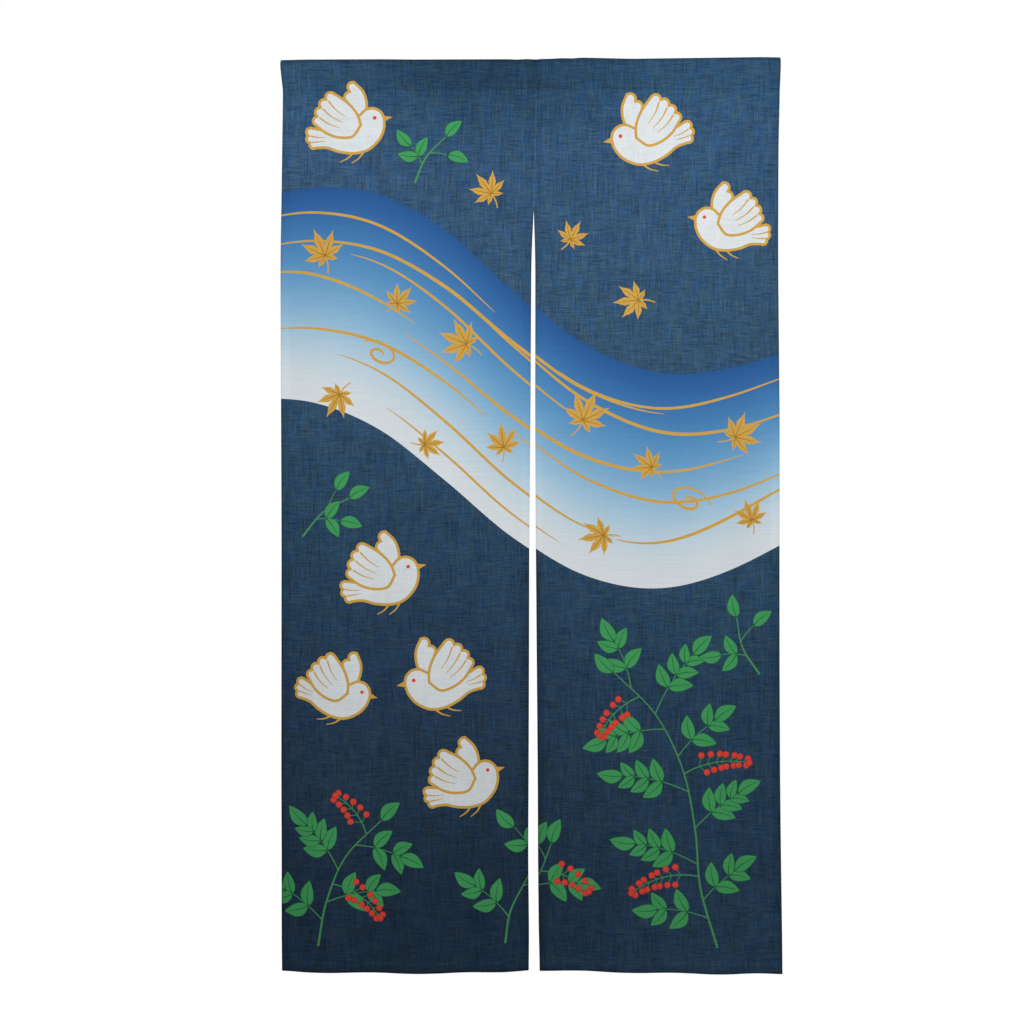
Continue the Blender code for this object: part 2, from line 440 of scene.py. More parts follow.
@dataclass(frozen=True)
class Hang:
    """How one panel hangs: which columns of the tables it follows, and its size in the cloth.

    Attributes:
        left_side: the column of its left side.
        right_side: the column of its right side.
        hem: the line of its bottom edge.
        folds: its soft folds.
        over: how far right of the centre seam its left side lies in the cloth.
        width: its width in the cloth between its folded sides.
        hems: how wide its left and right hems are.
        seed: what makes its small waves differ from the other panel's.
    """

    left_side: str
    right_side: str
    hem: tuple[EdgeRow, ...]
    folds: tuple[FoldRow, ...]
    over: float
    width: float
    hems: tuple[float, float]
    seed: float

    def across(self, share: Array, depth: Array) -> Array:
        """How far right of the curtain's middle points lie.

        Args:
            share: their shares of the panel's width.
            depth: how far below the crown they are.

        Returns:
            The places.
        """
        left = read_rows(SIDES, self.left_side, "depth", depth, SLIT_TIP)
        right = read_rows(SIDES, self.right_side, "depth", depth, SLIT_TIP)
        pressed = SEAM_PRESS * (1.0 - eased((depth - SLIT_TIP + SEAM_END) / SEAM_END))
        left = left - (pressed if self.sewn_side == 0 else 0.0)
        right = right + (pressed if self.sewn_side == 1 else 0.0)
        return left + (right - left) * share

    @property
    def sewn_side(self) -> int:
        """Which side is sewn to the other panel: 0 for the left one and 1 for the right one."""
        return 0 if self.left_side == "right_inner" else 1

    def from_sides(self, over: Array) -> tuple[Array, Array]:
        """How far a place lies in from the left side and from the right side."""
        return over, self.width - over

    def inset(self, share: Array) -> Array:
        """How far a share of the width lies in from the nearer side."""
        return np.minimum(share, 1.0 - share) * self.width

    def on_hem(self, over: Array, past: float, soft: float) -> Array:
        """1 on the doubled cloth of the side hems, easing to 0 a little past their inner edges."""
        pairs = zip(self.from_sides(over), self.hems)
        return np.maximum(*(eased((hem + past - side) / soft) for side, hem in pairs))

    def fold_height(self, across: Array, depth: Array) -> Array:
        """How far the cloth stands out in front of the flat, from all the folds.

        Args:
            across: how far right of the curtain's middle.
            depth: how far below the crown.

        Returns:
            The heights in metres.
        """
        total = np.zeros(np.shape(across))
        for fold in self.folds:
            grown = eased((depth - fold.start * MM) / (DROP - fold.start * MM))
            lean = (fold.hem_across - fold.crown_across) * depth / DROP
            from_crest = (across - (fold.crown_across + lean) * MM) / (fold.half_width * MM)
            rounded = np.where(np.abs(from_crest) < 1.0, 0.5 * (1.0 + np.cos(np.pi * from_crest)), 0.0)
            total += fold.height * MM * grown * rounded
        return total

    def small_waves(self, across: Array, share: Array, run: Array) -> Array:
        """The puckers along the seams and hems, and the listed wrinkles.

        Args:
            across: how far right of the curtain's middle.
            share: the share of the panel's width.
            run: how far below the crown, negative down the back of the pocket.

        Returns:
            How far they stand out in front.
        """
        depth = np.abs(run)
        from_stitches = depth - STITCH_DEPTH
        along = depth / MM
        over = across / MM
        hem_wave = np.sin(along / 7.1 + self.seed) + 0.7 * np.sin(along / 11.7 + 2.0 * self.seed)
        stitch_wave = np.sin(over / 2.1 + 1.7 * np.sin(over / 17.0)) + 0.8 * np.sin(over / 3.7 + self.seed)
        foot_wave = np.sin(over / 5.9 + self.seed) + 0.8 * np.sin(over / 9.1 + 3.0 * self.seed)
        total = HEM_RIPPLE.at(self.inset(share)) * hem_wave
        total += STITCH_RIPPLE.at(from_stitches) * stitch_wave
        total += FOOT_RIPPLE.at(DROP - depth) * foot_wave
        total += GROOVE.at(from_stitches) * np.where(run < 0.0, 1.0, -1.0)
        total += HEM_STEP * self.on_hem(share * self.width, 0.5 * MM, 2.5 * MM)
        for pucker in PUCKERS:
            x = (over - pucker.across) / pucker.width
            y = (along - pucker.down) / pucker.length
            total += MM * pucker.height * np.exp(-(x**2) - y**2)
        return total

    def edge_stack(self, share: Array) -> Array:
        """The fold radius that leaves room for the layers: more of them lie at the sides."""
        thick = eased((STACK_END - self.inset(share)) / (STACK_END - STACK_START))
        return HEM_RADIUS * (1.0 + 2.0 * thick)

    @staticmethod
    def pocket_wall(
        height: Array, foot: Array, fall: Array
    ) -> tuple[Array, Array]:
        """One wall of the pocket, from its stitches up to the crown.

        Args:
            height: 0 at the stitches and 1 at the crown, measured along the wall.
            foot: how far out the wall stands at the stitches.
            fall: how far the crown falls here.

        Returns:
            How far out and how high each point lies.
        """
        radius = POCKET_RADIUS - 0.5 * CLOTH
        centre = -fall - POCKET_RADIUS
        rise = centre + STITCH_DEPTH
        reach = np.hypot(foot, rise)
        lean = np.arctan2(rise, foot) + np.arcsin(radius / reach)
        straight = np.sqrt(reach**2 - radius**2)
        run = height * (straight + radius * lean)
        on_wall = np.minimum(run, straight)
        angle = lean + 0.5 * np.pi - np.maximum(run - straight, 0.0) / radius
        rounded = run > straight
        out = np.where(rounded, radius * np.cos(angle), -foot + on_wall * np.cos(lean))
        up = np.where(rounded, centre + radius * np.sin(angle), on_wall * np.sin(lean) - STITCH_DEPTH)
        return -out, up

    def middle(self, share: Array, run: Array) -> Array:
        """The middle of the cloth's own thickness, for its main layer.

        Args:
            share: the share of the panel's width, 0 at its left side.
            run: how far below the crown, negative down the back of the pocket.

        Returns:
            The points, one row each.
        """
        depth = np.abs(run)
        across = self.across(share, np.maximum(depth, SEAM_DEPTH))
        fall = read_rows(CROWN, "off", "across", across)
        flat = FRONT_FACE - 0.5 * CLOTH
        foot = np.where(run < 0.0, 2.0 * self.edge_stack(share) - flat, flat)
        out, up = self.pocket_wall(np.clip(1.0 - depth / STITCH_DEPTH, 0.0, 1.0), foot, fall)
        front = np.where(run < 0.0, -out, out)
        lowered = np.clip((depth - SEAM_DEPTH) / (DROP - SEAM_DEPTH), 0.0, None)
        rise = read_rows(self.hem, "off", "across", across) * lowered
        in_pocket = depth < STITCH_DEPTH
        z = np.where(in_pocket, up, rise - depth)
        waves = self.small_waves(across, share, run) * eased(depth / CROWN_EASE)
        y = -front - waves - self.fold_height(across, depth)
        seam = np.full_like(depth, SEAM_DEPTH)
        ends = [read_rows(SIDES, name, "depth", seam) for name in ("left_outer", "right_outer")]
        whole = (across - ends[0]) / (ends[1] - ends[0])
        flare = [read_rows(FLARES, name, "depth", -z) for name in ("left", "right")]
        x = across + np.where(depth < SEAM_DEPTH, flare[1] * whole - flare[0] * (1.0 - whole), 0.0)
        return np.stack([x, y, z], axis=1)

    def main_layer(self, share: Array, run: Array) -> tuple[Array, Array]:
        """The main layer of the cloth, without what is turned to the back.

        Args:
            share: the share of the panel's width.
            run: how far below the crown, negative down the back of the pocket.

        Returns:
            Its points and the directions that its print faces.
        """
        step = 1e-5
        over = self.middle(share + step, run) - self.middle(share - step, run)
        down = self.middle(share, run + step) - self.middle(share, run - step)
        return self.middle(share, run), unit(np.cross(down, over))

    def turned(self, over: Array, down: Array) -> tuple[Array, Array, Array]:
        """Where the flat cloth lies once its hems are turned to the back.

        Args:
            over: how far right of the panel's left side; the hems lie past both sides.
            down: how far below the crown; the bottom hem lies past the drop.

        Returns:
            The share of the width, the run below the crown, and how far behind the main layer.
        """
        past_right = over - (self.width - EDGE)
        past_left = EDGE - over
        past = np.maximum(past_right, past_left)
        angle = np.clip(past / HEM_RADIUS, 0.0, np.pi)
        beyond = np.maximum(past - np.pi * HEM_RADIUS, 0.0)
        swing = HEM_RADIUS * np.sin(angle) - beyond
        place = np.where(past_left > 0, EDGE - swing, over)
        place = np.where(past_right > 0, self.width - EDGE + swing, place)
        behind = np.where(past > 0, HEM_RADIUS * (1.0 - np.cos(angle)), 0.0)
        share = place / self.width

        radius = self.edge_stack(share)
        start = DROP - BOTTOM_ARC_START
        lowest = DROP - 0.5 * CLOTH - radius
        eased_off = np.clip((down - (start - FOOT_EASE)) / FOOT_EASE, 0.0, 1.0)
        run = np.where(down < start, down + (lowest - start) * eased_off, lowest)
        angle = np.clip((down - start) / BOTTOM_ARC, 0.0, 1.0) * np.pi
        around = radius - behind
        run = run + np.where(down > start, around * np.sin(angle), 0.0)
        run = run - np.maximum(down - start - BOTTOM_ARC, 0.0)
        behind = np.where(down > start, radius - around * np.cos(angle), behind)
        return share, run, behind

    def layer(self, over: Array, down: Array) -> Array:
        """Where the flat cloth hangs, hems included.

        Args:
            over: how far right of the panel's left side.
            down: how far below the crown.

        Returns:
            The points in the middle of the cloth's thickness.
        """
        share, run, behind = self.turned(over, down)
        points, facing = self.main_layer(share, run)
        return points - facing * behind[:, None]

    def hung(self, over: Array, down: Array) -> tuple[Array, Array]:
        """The hung cloth at points of the flat cloth.

        Args:
            over: how far right of the panel's left side.
            down: how far below the crown.

        Returns:
            The points in the middle of its thickness, and the directions that its print faces.
        """
        step = 4e-6
        across = self.layer(over + step, down) - self.layer(over - step, down)
        along = self.layer(over, down + step) - self.layer(over, down - step)
        return self.layer(over, down), unit(np.cross(along, across))


LEFT = Hang(
    "left_outer", "left_inner", LEFT_HEM, LEFT_FOLDS, -413.4 * MM, 413.4 * MM, (WIDE_HEM, WIDE_HEM), 0.6
)
RIGHT = Hang(
    "right_inner", "right_outer", RIGHT_HEM, RIGHT_FOLDS, 0.0, 398.6 * MM, (NARROW_HEM, WIDE_HEM), 2.3
)


# ---- The print ----


class Ink(Enum):
    """The inks of the print, as linear colours on white cloth."""

    STREAM = (0.0, 0.0, 0.0)
    GOLD = linear(217, 171, 80)
    DEEP_GOLD = linear(170, 122, 46)
    WHITE = linear(231, 237, 240)
    GREEN = linear(72, 163, 98)
    DEEP_GREEN = linear(32, 104, 56)
    STEM = linear(78, 152, 92)
    RED = linear(235, 78, 64)
    DEEP_RED = linear(168, 40, 34)


class Shape(NamedTuple):
    """One inked shape: its outline over and down in mm, and its ink."""

    outline: Array
    ink: Ink


class Current(NamedTuple):
    """A gold line of the current.

    It runs from start to end over the cloth, at a share of the way from the upper bank to the lower
    one that drifts as it goes, and has its greatest width halfway. All but the shares are in mm.
    """

    start: float
    end: float
    share: float
    drift: float
    width: float


class Eddy(NamedTuple):
    """A gold curl where the current turns back: its middle, reach, turns, width and whether mirrored."""

    at: Point
    reach: float
    turns: float
    width: float
    flip: bool


@dataclass(frozen=True)
class Stream:
    """A winding stream, blue along its upper bank and fading to white along its lower one.

    Attributes:
        upper: points of the upper bank, over and down in mm.
        lower: points of the lower bank.
        tones: the 8-bit colours from the upper bank to the lower one.
        currents: the gold lines along it.
        eddies: the gold curls in it.
    """

    upper: tuple = (
        (-470, 236), (-360, 214), (-250, 226), (-140, 286), (-30, 384),
        (80, 470), (200, 516), (320, 508), (470, 462),
    )
    lower: tuple = (
        (-470, 560), (-360, 566), (-250, 610), (-140, 694), (-30, 786),
        (80, 850), (200, 870), (320, 838), (470, 760),
    )
    tones: tuple = (
        (0.00, (45, 93, 155)),
        (0.10, (57, 109, 170)),
        (0.20, (71, 128, 185)),
        (0.31, (87, 147, 199)),
        (0.43, (111, 166, 210)),
        (0.55, (140, 187, 221)),
        (0.67, (173, 208, 231)),
        (0.78, (203, 223, 236)),
        (0.89, (223, 233, 239)),
        (1.00, (231, 237, 240)),
    )
    currents: tuple[Current, ...] = rows_of(
        Current,
        (-455, -60, 0.13, 0.02, 4.6),
        (-440, 210, 0.22, -0.03, 5.6),
        (-300, 90, 0.31, 0.02, 4.4),
        (-455, -190, 0.42, 0.04, 5.0),
        (-80, 455, 0.27, 0.05, 5.4),
        (40, 420, 0.16, -0.03, 4.4),
        (-210, 340, 0.49, -0.04, 5.6),
        (-40, 455, 0.60, 0.03, 4.8),
        (-430, -70, 0.63, -0.03, 5.2),
        (-320, 130, 0.77, 0.02, 4.6),
        (130, 455, 0.75, -0.05, 5.2),
        (-240, 40, 0.90, 0.01, 3.8),
    )
    eddies: tuple[Eddy, ...] = (
        Eddy((-250, 486), 34.0, 1.45, 4.6, False),
        Eddy((250, 726), 38.0, 1.45, 4.8, True),
    )

    def banks(self, over: Array) -> tuple[Array, Array]:
        """How far down the two banks lie at places over the cloth."""
        upper, lower = (smooth_line(list(bank), 12) for bank in (self.upper, self.lower))
        return np.interp(over, *upper.T), np.interp(over, *lower.T)

    def colour(self, over: Array, down: Array) -> Array:
        """The water's colour.

        Args:
            over: how far right of the centre seam, in mm.
            down: how far below the crown, in mm.

        Returns:
            A linear colour for each point.
        """
        upper, lower = self.banks(over)
        share = np.clip((down - upper) / (lower - upper), 0.0, 1.0)
        rows = np.array([(place, *linear(*tone)) for place, tone in self.tones]).T
        return np.stack([np.interp(share, rows[0], row) for row in rows[1:]], axis=1)

    def current(self, line: Current) -> Shape:
        """A gold line of the current, drawn out to a point at both ends.

        Args:
            line: where it runs, and how wide it is.

        Returns:
            The inked line.
        """
        along = np.linspace(0.0, 1.0, 70)
        over = np.linspace(line.start, line.end, len(along))
        share = line.share + line.drift * np.sin(math.pi * (along - 0.5))
        down = between(*self.banks(over), share)
        taper = 0.12 + 0.88 * np.sin(math.pi * along) ** 0.6
        return Shape(stroke(xy(over, down), line.width * taper), Ink.GOLD)

    def eddy(self, curl: Eddy) -> Shape:
        """A gold curl, a flat spiral that opens outwards.

        Args:
            curl: where it lies, and its measures.

        Returns:
            The inked curl.
        """
        angle = np.linspace(0.0, curl.turns * 2.0 * math.pi, 64)
        radius = curl.reach * (0.16 + 0.84 * (angle / angle[-1]) ** 1.15)
        points = xy(radius * np.cos(angle), 0.62 * radius * np.sin(angle))
        taper = 0.25 + 0.75 * np.sin(math.pi * np.linspace(0.06, 0.98, len(angle))) ** 0.7
        return Shape(stroke(placed(points, curl.at, 1.0, -24.0, curl.flip), curl.width * taper), Ink.GOLD)

    def shapes(self) -> list[Shape]:
        """The water and the gold lines on it.

        Returns:
            The shapes, the lowest first.
        """
        over = np.linspace(-460.0, 460.0, 150)
        upper, lower = self.banks(over)
        bank = np.vstack([xy(over, upper), xy(over, lower)[::-1]])
        lines = [self.current(line) for line in self.currents]
        return [Shape(bank, Ink.STREAM), *lines, *(self.eddy(curl) for curl in self.eddies)]


@dataclass(frozen=True)
class MapleLeaf:
    """A gold leaf of seven pointed lobes, with its veins and its stalk.

    Attributes:
        at: where its middle lies, over and down in mm.
        size: the length of its middle lobe.
        turn: how far it is turned to the left, in degrees.
    """

    at: Point
    size: float
    turn: float

    # A lobe's half width at places along it, both as shares, with two small teeth.
    PROFILE = ((0.46, 0.86), (0.6, 1.0), (0.62, 0.84), (0.76, 0.64), (0.78, 0.5), (0.9, 0.22), (1.06, 0.0))

    def on_cloth(self, points: Array) -> Array:
        """The leaf's own points, placed on the cloth."""
        return placed(points, self.at, self.size, self.turn, False)

    def lobes(self) -> list[tuple[float, float, float]]:
        """The lobes from left to right.

        Returns:
            Each lobe's angle from the middle one in degrees, its length and its half width.
        """
        half = [(40.0, 0.92, 0.155), (80.0, 0.74, 0.135), (126.0, 0.46, 0.10)]
        left = [(-angle, length, width) for angle, length, width in reversed(half)]
        return left + [(0.0, 1.0, 0.165)] + half

    def outline(self) -> Array:
        """The blade, lobe by lobe, each with two small teeth on a side.

        Returns:
            The outline's points in the leaf's own measure.
        """
        points = [(0.0, -0.10)]
        lobes = self.lobes()
        for i, (angle, length, width) in enumerate(lobes):
            out = upward(angle)
            aside = np.array([out[1], -out[0]])
            rising = [out * length * far - aside * width * wide for far, wide in self.PROFILE]
            falling = [out * length * far + aside * width * wide for far, wide in self.PROFILE[-2::-1]]
            points += [tuple(p) for p in rising + falling]
            if i + 1 < len(lobes):
                deep = 0.36 * min(length, lobes[i + 1][1]) + 0.05
                points.append(tuple(deep * upward(0.5 * (angle + lobes[i + 1][0]))))
        return np.array(points)

    def shapes(self) -> list[Shape]:
        """The blade, then the veins, then the stalk.

        Returns:
            The shapes, the lowest first.
        """
        made = [Shape(self.on_cloth(self.outline()), Ink.GOLD)]
        for angle, length, _ in self.lobes():
            vein = np.linspace(0.0, 1.0, 6)[:, None] * (0.80 * length * upward(angle))
            taper = np.linspace(1.0, 0.35, 6) * 1.7
            made.append(Shape(stroke(self.on_cloth(vein), taper), Ink.DEEP_GOLD))
        stalk = smooth_line([(0.0, -0.02), (-0.03, -0.32), (-0.15, -0.62)], 6)
        width = np.linspace(2.6, 1.8, len(stalk))
        made.append(Shape(stroke(self.on_cloth(stalk), width), Ink.GOLD))
        return made


@dataclass(frozen=True)
class Plover:
    """A round little shore bird on the wing, white with a gold outline and a red eye.

    Attributes:
        at: where its middle lies, over and down in mm.
        size: its length from beak to tail.
        turn: how far it is turned to the left, in degrees.
        flip: whether it flies to the left.
    """

    at: Point
    size: float
    turn: float
    flip: bool

    LENGTH = 124.0  # from beak to tail in the measure of the outlines below
    LINE = 2.2  # half the width of the gold outline, in mm

    def body(self) -> Array:
        """Round head and belly, and a tail of three rounded feathers.

        Returns:
            The outline's points in the bird's own measure.
        """
        back = [(55, 9), (52, 20), (43, 28), (31, 29), (20, 23), (5, 15), (-14, 11), (-34, 12), (-58, 22)]
        tail = scallops([(-58, 22), (-64, 11), (-64, 0), (-56, -10)])
        belly = [(-56, -10), (-40, -14), (-24, -24), (-2, -32), (20, -32), (40, -21), (51, -6), (55, 9)]
        return closed_outline([back, *tail, belly])

    def wing(self) -> Array:
        """The near wing, raised, with rounded feathers behind.

        Returns:
            The outline's points in the bird's own measure.
        """
        front = [(18, 8), (16, 26), (6, 46), (-12, 66)]
        tips = [(-12, 66), (-25, 59), (-36, 49), (-44, 37), (-49, 24)]
        root = [(-49, 24), (-36, 8), (-18, -3), (2, -6), (18, 8)]
        return closed_outline([front, *scallops(tips), root])

    def far_wing(self) -> Array:
        """The far wing, behind the head.

        Returns:
            The outline's points in the bird's own measure.
        """
        front = [(28, 20), (34, 38), (33, 57), (24, 74)]
        tips = [(24, 74), (13, 62), (6, 47)]
        return closed_outline([front, *scallops(tips), [(6, 47), (8, 30), (12, 14)], [(12, 14), (28, 20)]])

    def on_cloth(self, points: Array) -> Array:
        """A bird's own points, placed on the cloth."""
        return placed(points, self.at, self.size / self.LENGTH, self.turn, self.flip)

    def outlined(self, outline: Array) -> list[Shape]:
        """A white shape within a gold line."""
        drawn = self.on_cloth(outline)
        return [Shape(widened(drawn, self.LINE), Ink.GOLD), Shape(widened(drawn, -self.LINE), Ink.WHITE)]

    def line(self, points: list[Point], width: float, ink: Ink) -> Shape:
        """A tapering line on the bird.

        Args:
            points: points along it in the bird's own measure.
            width: how wide it starts, in mm.
            ink: its ink.

        Returns:
            The inked line.
        """
        drawn = self.on_cloth(smooth_line(points, 6))
        taper = np.linspace(1.0, 0.35, len(drawn)) * width
        return Shape(stroke(drawn, taper), ink)

    def shapes(self) -> list[Shape]:
        """The bird: feet, far wing, beak, body and near wing, then its feathers' lines and its eye.

        Returns:
            The shapes, the lowest first.
        """
        made = [
            self.line([(-2, -30), (-13, -37), (-26, -40)], 3.6, Ink.GOLD),
            self.line([(14, -32), (4, -41), (-9, -46)], 3.6, Ink.GOLD),
        ]
        made += self.outlined(self.far_wing())
        beak = np.array([(52, 15), (68, 8), (53, 4)], float)
        made.append(Shape(self.on_cloth(beak), Ink.GOLD))
        made += self.outlined(self.body())
        made += self.outlined(self.wing())
        for tip, root in (((-22, 56), (-2, 26)), ((-33, 46), (-8, 18)), ((-41, 34), (-14, 11))):
            bowed = (0.5 * (tip[0] + root[0]) - 2, 0.5 * (tip[1] + root[1]) - 1)
            made.append(self.line([tip, bowed, root], 2.8, Ink.GOLD))
        made.append(self.line([(-61, 10), (-50, 5), (-38, 2)], 2.4, Ink.GOLD))
        made.append(self.line([(-61, 0), (-50, -2), (-40, -3)], 2.4, Ink.GOLD))
        eye = np.array([41.0, 13.5]) + 2.9 * circle(14)
        made.append(Shape(self.on_cloth(eye), Ink.RED))
        return made


@dataclass(frozen=True)
class Leaflet:
    """A pointed green leaflet with a dark rim and vein.

    Attributes:
        at: where its stalk ends, over and down in mm.
        length: how long it is.
        turn: which way it points, in degrees to the left of rightwards.
    """

    at: Point
    length: float
    turn: float

    def blade(self, grow: float) -> Array:
        """The outline, larger or smaller all round.

        Args:
            grow: how far it is moved outwards, in mm.

        Returns:
            The outline's points, for a leaflet one unit long.
        """
        along = np.linspace(0.0, 1.0, 13)
        wide = 0.265 * np.sin(math.pi * along**0.80) ** 0.86
        bend = 0.07 * np.sin(math.pi * along)
        upper = xy(along, bend + wide)
        lower = xy(along, bend - wide)
        ring = np.vstack([upper[:-1], lower[1:][::-1]]) * self.length
        return widened(ring, grow) / self.length

    def shapes(self) -> list[Shape]:
        """The rim, the blade and the vein.

        Returns:
            The shapes, the lowest first.
        """
        vein = smooth_line([(-0.04, 0.0), (0.35, 0.062), (0.84, 0.035)], 5)
        rim, blade, vein = (
            placed(points, self.at, self.length, self.turn, False)
            for points in (self.blade(0.5), self.blade(-0.3), vein)
        )
        line = stroke(vein, np.linspace(1.7, 0.7, len(vein)))
        return [Shape(rim, Ink.DEEP_GREEN), Shape(blade, Ink.GREEN), Shape(line, Ink.DEEP_GREEN)]


class Stalk(NamedTuple):
    """A side stalk: its place up the stem, its angle off it, its length in mm, and its pairs.

    The pairs are of leaflets on a frond, and of berries in a cluster.
    """

    place: float
    angle: float
    length: float
    pairs: int


@dataclass(frozen=True)
class Sprig:
    """A sprig of heavenly bamboo: a stem, fronds of leaflets and bunches of red berries.

    Attributes:
        stem: points up the stem, over and down in mm.
        fronds: its side stalks.
        clusters: its bunches of berries.
        leaflet: the length of its largest leaflets.
    """

    stem: tuple
    fronds: tuple[Stalk, ...]
    clusters: tuple[Stalk, ...] = ()
    leaflet: float = 46.0

    def direction(self, line: Array, index: int) -> float:
        """Which way a line runs at one of its points, in degrees to the left of rightwards."""
        ahead = line[min(index + 1, len(line) - 1)] - line[max(index - 1, 0)]
        return math.degrees(math.atan2(-ahead[1], ahead[0]))

    def end_leaflet(self, line: Array) -> list[Shape]:
        """The leaflet that ends a stalk."""
        return Leaflet(tuple(line[-1]), self.leaflet, self.direction(line, len(line) - 1)).shapes()

    def side_line(self, start: Array, heading: float, length: float, droop: float) -> Array:
        """A side stalk from the stem.

        Args:
            start: where it leaves the stem.
            heading: which way it sets out, in degrees to the left of rightwards.
            length: how long it is, in mm.
            droop: how far it bends down on its way, in degrees.

        Returns:
            The points along it.
        """
        count = 24
        bend = math.copysign(droop, math.cos(math.radians(heading)))
        angles = np.radians(heading - bend * (np.arange(count) + 0.5) / count)
        steps = xy(np.cos(angles), -np.sin(angles)) * length / count
        return start + np.vstack([[0.0, 0.0], np.cumsum(steps, axis=0)])

    def frond(self, start: Array, heading: float, frond: Stalk) -> list[Shape]:
        """A side stalk with its pairs of leaflets and the one at its end.

        Args:
            start: where it leaves the stem.
            heading: which way it sets out, in degrees.
            frond: its measures.

        Returns:
            The shapes, the lowest first.
        """
        line = self.side_line(start, heading, frond.length, 22.0)
        made = [Shape(stroke(line, np.linspace(2.0, 1.2, len(line))), Ink.STEM)]
        for pair in range(frond.pairs):
            share = 0.40 + 0.42 * pair / max(frond.pairs - 1, 1)
            index = round(share * (len(line) - 1))
            size = self.leaflet * (0.96 - 0.10 * pair)
            along = self.direction(line, index)
            for side in (-1, 1):
                turn = along + side * (54.0 - 7.0 * pair)
                made += Leaflet(tuple(line[index]), size, turn).shapes()
        return made + self.end_leaflet(line)

    def cluster(self, start: Array, heading: float, cluster: Stalk) -> list[Shape]:
        """A drooping stalk with berries down both sides.

        Args:
            start: where it leaves the stem.
            heading: which way it sets out, in degrees.
            cluster: its measures.

        Returns:
            The shapes, the lowest first.
        """
        line = self.side_line(start, heading, cluster.length, 46.0)
        made = [Shape(stroke(line, np.linspace(2.2, 1.2, len(line))), Ink.STEM)]
        berries = []
        for row in range(cluster.pairs):
            share = 0.26 + 0.66 * row / max(cluster.pairs - 1, 1)
            index = round(share * (len(line) - 1))
            along = math.radians(self.direction(line, index))
            spread = 17.0 * (1.0 - 0.62 * row / cluster.pairs)
            for side in (-1.0, 1.0):
                lean = along + side * math.radians(58.0 - 2.0 * row)
                reach = spread * (1.0 + 0.10 * side)
                end = line[index] + np.array([math.cos(lean), -math.sin(lean)]) * reach
                made.append(Shape(stroke(np.linspace(line[index], end, 4), 1.2), Ink.STEM))
                berries.append(end)
        berries.append(line[-1])
        for spot in berries:
            made += self.berry(spot, 5.3)
        return made

    @staticmethod
    def berry(spot: Array, radius: float) -> list[Shape]:
        """A red berry with a dark speck at its end.

        Args:
            spot: its middle, over and down in mm.
            radius: its radius in mm.

        Returns:
            The shapes, the lowest first.
        """
        ring = circle(16)
        speck = spot + np.array([1.0, 2.1]) + 0.9 * ring[::3]
        rim, skin = spot + (radius + 0.3) * ring, spot + (radius - 0.5) * ring
        return [Shape(rim, Ink.DEEP_RED), Shape(skin, Ink.RED), Shape(speck, Ink.DEEP_RED)]

    def shapes(self) -> list[Shape]:
        """The stem first, then what grows from it.

        Returns:
            The shapes, the lowest first.
        """
        line = smooth_line(list(self.stem), 10)
        made = [Shape(stroke(line, np.linspace(3.6, 1.8, len(line))), Ink.STEM)]
        for make, stalks in ((self.frond, self.fronds), (self.cluster, self.clusters)):
            for stalk in stalks:
                index = round(stalk.place * (len(line) - 1))
                made += make(line[index], self.direction(line, index) + stalk.angle, stalk)
        return made + self.end_leaflet(line)


class Tone(NamedTuple):
    """The ground at a depth in mm: its 8-bit colours left and right, and the share of them that painted
    shade leaves in the middle.
    """

    depth: float
    left: tuple[int, int, int]
    right: tuple[int, int, int]
    middle: float


@dataclass(frozen=True)
class Ground:
    """The ground, a navy that deepens downwards, with painted shade that darkens it most at the top left of
    the middle.

    Attributes:
        tones: its tones down the cloth.
        darkest: how far over the painted shade of the middle is deepest, in mm.
        spread: how far to either side of that place the painted shade reaches.
        turn_at: how far over the left tones start to give way to the right ones.
        turn_over: in what width they do.
    """

    tones: tuple[Tone, ...] = rows_of(
        Tone,
        (52, (55, 90, 122), (51, 85, 116), 0.58),
        (56, (57, 93, 126), (55, 90, 122), 0.66),
        (97, (61, 97, 132), (56, 90, 123), 0.68),
        (150, (61, 95, 130), (56, 89, 122), 0.84),
        (410, (58, 90, 119), (56, 88, 117), 1.00),
        (610, (52, 82, 110), (56, 85, 111), 1.00),
        (810, (47, 75, 101), (51, 82, 109), 0.97),
        (1000, (44, 68, 94), (46, 73, 98), 0.97),
        (1200, (42, 64, 86), (44, 70, 95), 0.95),
        (1330, (38, 58, 79), (44, 69, 94), 0.92),
        (1500, (37, 57, 78), (45, 71, 95), 0.93),
    )
    darkest: float = -90.0
    spread: float = 380.0
    turn_at: float = -210.0
    turn_over: float = 600.0

    def colour(self, over: Array, down: Array) -> Array:
        """The ground's colour.

        Args:
            over: how far right of the centre seam, in mm.
            down: how far below the crown, in mm.

        Returns:
            A linear colour for each point.
        """
        rows = np.array([(t.depth, *linear(*t.left), *linear(*t.right), t.middle) for t in self.tones]).T
        read = np.stack([np.interp(down, rows[0], row) for row in rows[1:]], axis=1)
        right = eased((over - self.turn_at) / self.turn_over)[:, None]
        # painted shade over the middle, deepest at the top left
        middle_shade = eased(1.0 - np.abs(over - self.darkest) / self.spread)
        shade = between(1.0, read[:, 6], middle_shade)
        return between(read[:, :3], read[:, 3:6], right) * shade[:, None]


